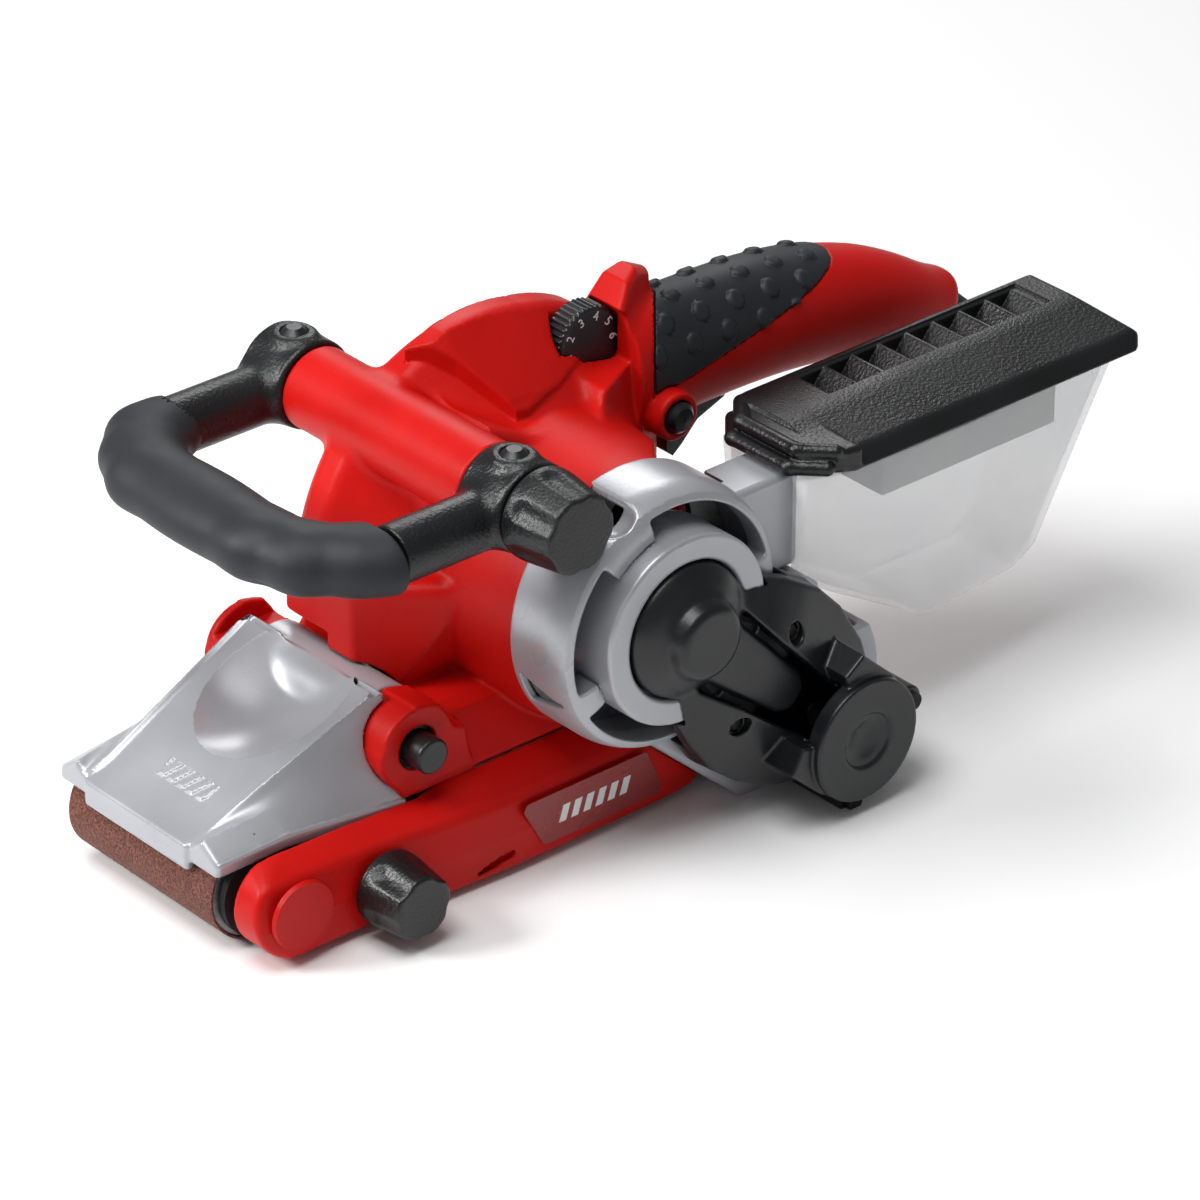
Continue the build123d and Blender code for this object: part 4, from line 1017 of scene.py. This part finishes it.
def box_outside(x, y, z):
    """Tapered bin with faceted near and front faces and a rising bottom."""
    top, near_y = BOX_HIGH[2], BOX_LOW[1] - 0.8
    faces = [((-1, 0, 0), (BOX_FRONT, 0, top)), ((0, 0.98, -0.15), (0, BOX_HIGH[1], top)),
             ((-0.38, -0.923, -0.05), (119, near_y, top)), ((-0.07, -0.996, -0.045), (143, near_y, top)),
             ((0, -1, -0.03), (0, near_y, top)), ((0.09, -0.99, -0.06), (183, near_y, top)),
             ((0.876, 0, -0.482), (BOX_HIGH[0] - 3, 0, top)), ((0.447, 0, -0.894), (207, 0, 41.0)),
             ((0, 0, -1), (0, 0, 38.4)), ((-0.495, 0, -0.869), (DRUM[0] + 18.8, 0, DRUM[1] + 32.9))]
    d = z - top
    for normal, point in faces:
        d = meet(d, side_of(x, y, z, normal, point), 0.9)
    return d


def dust_box(x, y, z):
    """Thin open-topped shell with an opening for the duct."""
    outer = box_outside(x, y, z)
    d = np.maximum(outer, -outer - BOX_WALL)
    d = meet(d, z - (BOX_HIGH[2] - 0.2), 0.3)
    opening = box(x, y, z, (90, DUCT_LOW[1] - 0.4, DUCT_LOW[2] - 0.4), (132, DUCT_HIGH[1] + 0.4, 130), 0.5)
    d = cut(d, opening, 0.4)
    return cut(d, meet(outer + BOX_WALL, BOX_HIGH[2] - 3 - z, 0.1), 0.2)


def lid_outside(x, y, z):
    """Lid with a level far half and a near half that slopes down to the rim."""
    top = LID_HIGH[2]
    plan = polygon(x, y, [(117, -26), (250, -24.8), (254, -29), (254.5, -74), (250, -79), (120, -79.5),
                          (113, -72), (113, -30)])
    d = prism(plan, z, LID_LOW[2] + 0.2, 130, 1.5)
    for normal, point, soft in (((-0.004, 0, 1), (119, 0, top - 0.6), 1.0),
                                ((0, -0.19, 0.98), (0, -50, top - 0.3), 0.8),
                                ((0, -0.75, 0.66), (0, -74.5, top - 5.5), 1.2),
                                ((0.75, 0, 0.66), (250, 0, top - 1.5), 1.2),
                                ((0, 0.8, 0.6), (0, -26.5, top - 1), 1.2)):
        d = meet(d, side_of(x, y, z, normal, point), soft)
    return d


def lid_collar(x, y, z):
    """Ribbed collar at the front of the lid, over the duct."""
    step = polygon(x, y, [(106, -37), (116, -27), (122, -27), (122, -77), (116, -76), (106, -68)]) - 1.5
    collar = prism(step, z, LID_LOW[2] + 0.2, LID_HIGH[2] - 2.2, 2.0)
    for height, front in ((115.2, 105.0), (110.3, 101.5)):
        corners = (front, -66), (front, -39)
        for start, end in (corners, (corners[0], (front + 9, -75)), (corners[1], (front + 9, -29))):
            collar = join(collar, rod(x, y, z, (*start, height), (*end, height), 2.6), 1.2)
    return meet(collar, LID_LOW[2] + 0.2 - z, 0.3)


def dust_lid(x, y, z):
    """Hollow lid with its collar and a recessed row of louvres."""
    d = lid_outside(x, y, z)
    hollow = box(x, y, z, (108, -74.5, 90), (247.5, -30.5, LID_HIGH[2] - 9.5), 1.0)
    d = cut(d, hollow, 0.4)
    d = join(d, lid_collar(x, y, z), 1.2)
    band = box(x, y, z, (LOUVRE_START - 1.5, LOUVRE_NEAR - 1, LID_HIGH[2] - 1.2),
               (LOUVRE_START + SLATS * SLAT_PITCH + 1.5, LOUVRE_FAR + 1, 130), 0.4)
    d = cut(d, band, 0.4)
    for i in range(SLATS):
        start = LOUVRE_START + SLAT_PITCH * i
        end = start + 10.6
        pocket = polygon(x, z, [(start, 121), (end, 121), (end, 116.5), (start + 5.5, 110.2),
                                (start - 0.4, 110.2)])
        d = cut(d, prism(pocket, y, LOUVRE_NEAR, LOUVRE_FAR, 0.4), 0.5)
    return d


sculpt("dust_box", dust_box, CLEAR, step=0.9, low=(BOX_FRONT - 1.5, BOX_LOW[1] - 3, 36.5))
sculpt("dust_lid", dust_lid, BLACK, step=0.75, grow=5)


# ------------------------ dial, hinge pin, screws and plain marks
DIAL_RADIUS = 13.3
DIAL_TEETH = 40
DIAL_NEAR = -3.5
DIGITS = 6
DIGIT_PITCH = 38            # degrees between two numbers
DIGIT_RADIUS = 9.6
LABEL_BARS = 6
LABEL_PITCH = 5.2


def speed_dial(x, y, z):
    """Thumb wheel with a fluted rim."""
    turn = np.arctan2(z - DIAL[1], x - DIAL[0])
    q = np.hypot(x - DIAL[0], z - DIAL[1])
    flutes = 0.35 * np.clip((q - 9) / 4, 0, 1) * (1 - np.cos(DIAL_TEETH * turn))
    d = prism(q - DIAL_RADIUS + flutes, y, DIAL_NEAR, 5.5, 0.3)
    d = meet(d, side_of(q, y, 0, CHAMFER, (DIAL_RADIUS - 1.2, DIAL_NEAR, 0)), 0.3)
    return join(d, prism(q - 2.0, y, 5, 18, 0.3), 0.3)


def hinge_pin(x, y, z):
    """Pin through both knuckles, with a head at each end."""
    q = disc(x, z, HINGE, 0)
    d = prism(q - 3.0, y, -54, 49, 0.5)
    return np.minimum(d, np.minimum(prism(q - 6.2, y, -54, -43.4, 1.2), prism(q - 4.9, y, 29.2, 49, 1.0)))


def flat_marks(name, node, outlines, y, depth, paint):
    """Small raised flat marks on a near face, given as outlines in x and z."""
    vertices, faces = [], []
    for outline in outlines:
        start, count = len(vertices), len(outline)
        vertices += [(x / MM, near / MM, z / MM) for near in (y, y + depth) for x, z in outline]
        faces.append(tuple(range(start, start + count)))
        faces.append(tuple(range(start + 2 * count - 1, start + count - 1, -1)))
        for i in range(count):
            j = (i + 1) % count
            faces.append((start + j, start + i, start + count + i, start + count + j))
    mesh = bpy.data.meshes.new(name)
    mesh.from_pydata(vertices, [], faces)
    mesh.materials.append(paint)
    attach(link(name, mesh), body_of(node))


def digits_on_dial():
    """Generic speed numbers printed on the dial's near face."""
    for value in range(1, DIGITS + 1):
        angle = math.radians(DIGIT_PITCH * (DIGITS - value))
        text = bpy.data.curves.new(f"digit_{value}", "FONT")
        text.body = str(value)
        text.size = 4.6 / MM
        text.align_x = "CENTER"
        text.align_y = "CENTER"
        text.extrude = 0.08 / MM
        holder = link(f"digit_{value}_text", text)
        mesh = bpy.data.meshes.new_from_object(holder)
        bpy.data.objects.remove(holder)
        bpy.data.curves.remove(text)
        x, z = (c + DIGIT_RADIUS * part for c, part in zip(DIAL, (math.cos(angle), math.sin(angle))))
        place = Vector((x, DIAL_NEAR - 0.06, z)) / MM
        spin = Matrix.Rotation(math.pi / 2 - angle, 4, "Y")
        mesh.transform(Matrix.Translation(place) @ spin @ Matrix.Rotation(math.pi / 2, 4, "X"))
        mesh.materials.clear()
        mesh.materials.append(MARK_WHITE)
        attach(link(f"digit_{value}", mesh), body_of("speed_dial"))


def bars_on_label():
    """Plain slanted bars on the side arm's label."""
    centre_x, _, centre_z = middle("label_plate")
    near = reach("label_plate")[0][1]
    low, high = centre_z - 3, centre_z + 3
    starts = [centre_x - 15 + LABEL_PITCH * i for i in range(LABEL_BARS)]
    slants = [[(x, low), (x + 3, low), (x + 5, high), (x + 2, high)] for x in starts]
    flat_marks("label_marks", "label_plate", slants, near - 0.08, 0.2, MARK_WHITE)


sculpt("speed_dial", speed_dial, SATIN, step=0.5)
sculpt("hinge_pin", hinge_pin, SATIN, step=0.6, grow=2.5)
digits_on_dial()
bars_on_label()


# ------------------------ hand knobs
def knob(centre, far, near, base, tip, lobes, turn, bore):
    """Tapered hand knob with a thumb dish between each two lobes."""
    def field(x, y, z):
        stops = [(near, tip), (far - 4, base), (far, base)]
        d = turned(x, y, z, centre, stops, 1.5)
        d = meet(d, near - y, 1.6)
        d = meet(d, y - far, 1.2)
        for i in range(lobes):
            a = math.radians(360 / lobes * i + turn)
            ux, uz = math.cos(a), math.sin(a)
            start = (centre[0] + ux * (base + 5.2), far - 8.5, centre[1] + uz * (base + 5.2))
            end = (centre[0] + ux * (tip + 5.6), near - 6, centre[1] + uz * (tip + 5.6))
            d = cut(d, rod(x, y, z, start, end, 7.0), 1.2)
        return bored(d, x, y, z, centre, bore, near + 5, far + 5, edge=0.2)

    return field


def make_knob(node, centre, base, tip, lobes, turn, bore):
    low, high = reach(node)
    sculpt(node, knob(centre, high[1], low[1], base, tip, lobes, turn, bore), BLACK, step=0.7)


make_knob("clamp_knob", TUBE, base=15.8, tip=13.6, lobes=6, turn=30, bore=4.05)
make_knob("tracking_knob", KNOB, base=13.0, tip=11.2, lobes=5, turn=54, bore=2.95)


# ------------------------ front handle
BAIL_Z = middle("bail_grip")[2]
GRIP_X = -82.0
ARM_Y = 56.0
SCREW_Y = 55.5
SLEEVE_END, ARM_START = -60, -57.5


def route(u, v, points, soft):
    """Distance to a line of joined runs, with its corners softened."""
    d = None
    for a, b in zip(points, points[1:]):
        run = (b[0] - a[0], b[1] - a[1])
        t = np.clip(((u - a[0]) * run[0] + (v - a[1]) * run[1]) / (run[0] ** 2 + run[1] ** 2), 0, 1)
        gap = np.hypot(u - a[0] - t * run[0], v - a[1] - t * run[1])
        d = gap if d is None else join(d, gap, soft)
    return d


GRIP_ROUTE = [(SLEEVE_END, ARM_Y), (-67, ARM_Y - 1), (-76, 46), (GRIP_X, 34), (GRIP_X - 0.5, -24), (-78, -40),
              (-66, -52), (-59, -ARM_Y), (-48, -ARM_Y)]


def bail_grip(x, y, z):
    """Soft oval grip round the bail."""
    middle_swell = 3.0 * np.exp(-((y - 6) / 26) ** 2)
    off = route(x, y, GRIP_ROUTE, 5)
    half_wide, half_high = 12.8 + middle_swell, 11.0
    d = (np.sqrt((off / half_wide) ** 2 + ((z - BAIL_Z) / half_high) ** 2) - 1) * 11.2
    ends = np.minimum(x - SLEEVE_END, -y)
    d = meet(d, np.maximum(ends, x + 48), 1.2)
    core = (np.sqrt((off / 7.2) ** 2 + ((z - BAIL_Z) / 6.7) ** 2) - 1) * 6.5
    sleeve = np.minimum(core, np.hypot(np.abs(y) - ARM_Y, z - BAIL_Z) - 10.35 + 50 * (x < -58.5))
    return cut(d, sleeve, 0.4)


def bail_handle(x, y, z):
    """Bail: two round arms that end in sockets over the cross tube."""
    off = route(x, y, [(-6, ARM_Y)] + GRIP_ROUTE[1:-1] + [(-6, -ARM_Y)], 5)
    d = (np.sqrt((off / 7.0) ** 2 + ((z - BAIL_Z) / 6.5) ** 2) - 1) * 6.5
    for side in (1, -1):
        arm = prism(np.hypot(y - side * ARM_Y, z - BAIL_Z), x, ARM_START, -14, 0.1) - 10.1
        arm = meet(arm, ARM_START - x, 0.8)
        socket_y = side * SCREW_Y
        socket = prism(disc(x, z, TUBE, 15.6), y, socket_y - 10.3, socket_y + 10.3, 1.4)
        off_screw = np.hypot(x - TUBE[0], y - socket_y)
        top = prism(off_screw - 7.6, z, TUBE[1], TUBE[1] + 16.0, 1.5)
        d = join(d, join(join(arm, socket, 5), top, 3), 1)
        d = cut(d, prism(off_screw - 4.6, z, TUBE[1] + 10, TUBE[1] + 30, 0.3), 0.5)
    d = bored(d, x, y, z, TUBE, 4.3, -80, 80)
    return bored(d, x, y, z, TUBE, 7.4, 61.7, 80, 0.5)


sculpt("bail_handle", bail_handle, BLACK, step=0.9, grow=2.5)
sculpt("bail_grip", bail_grip, RUBBER, step=0.9, grow=4)
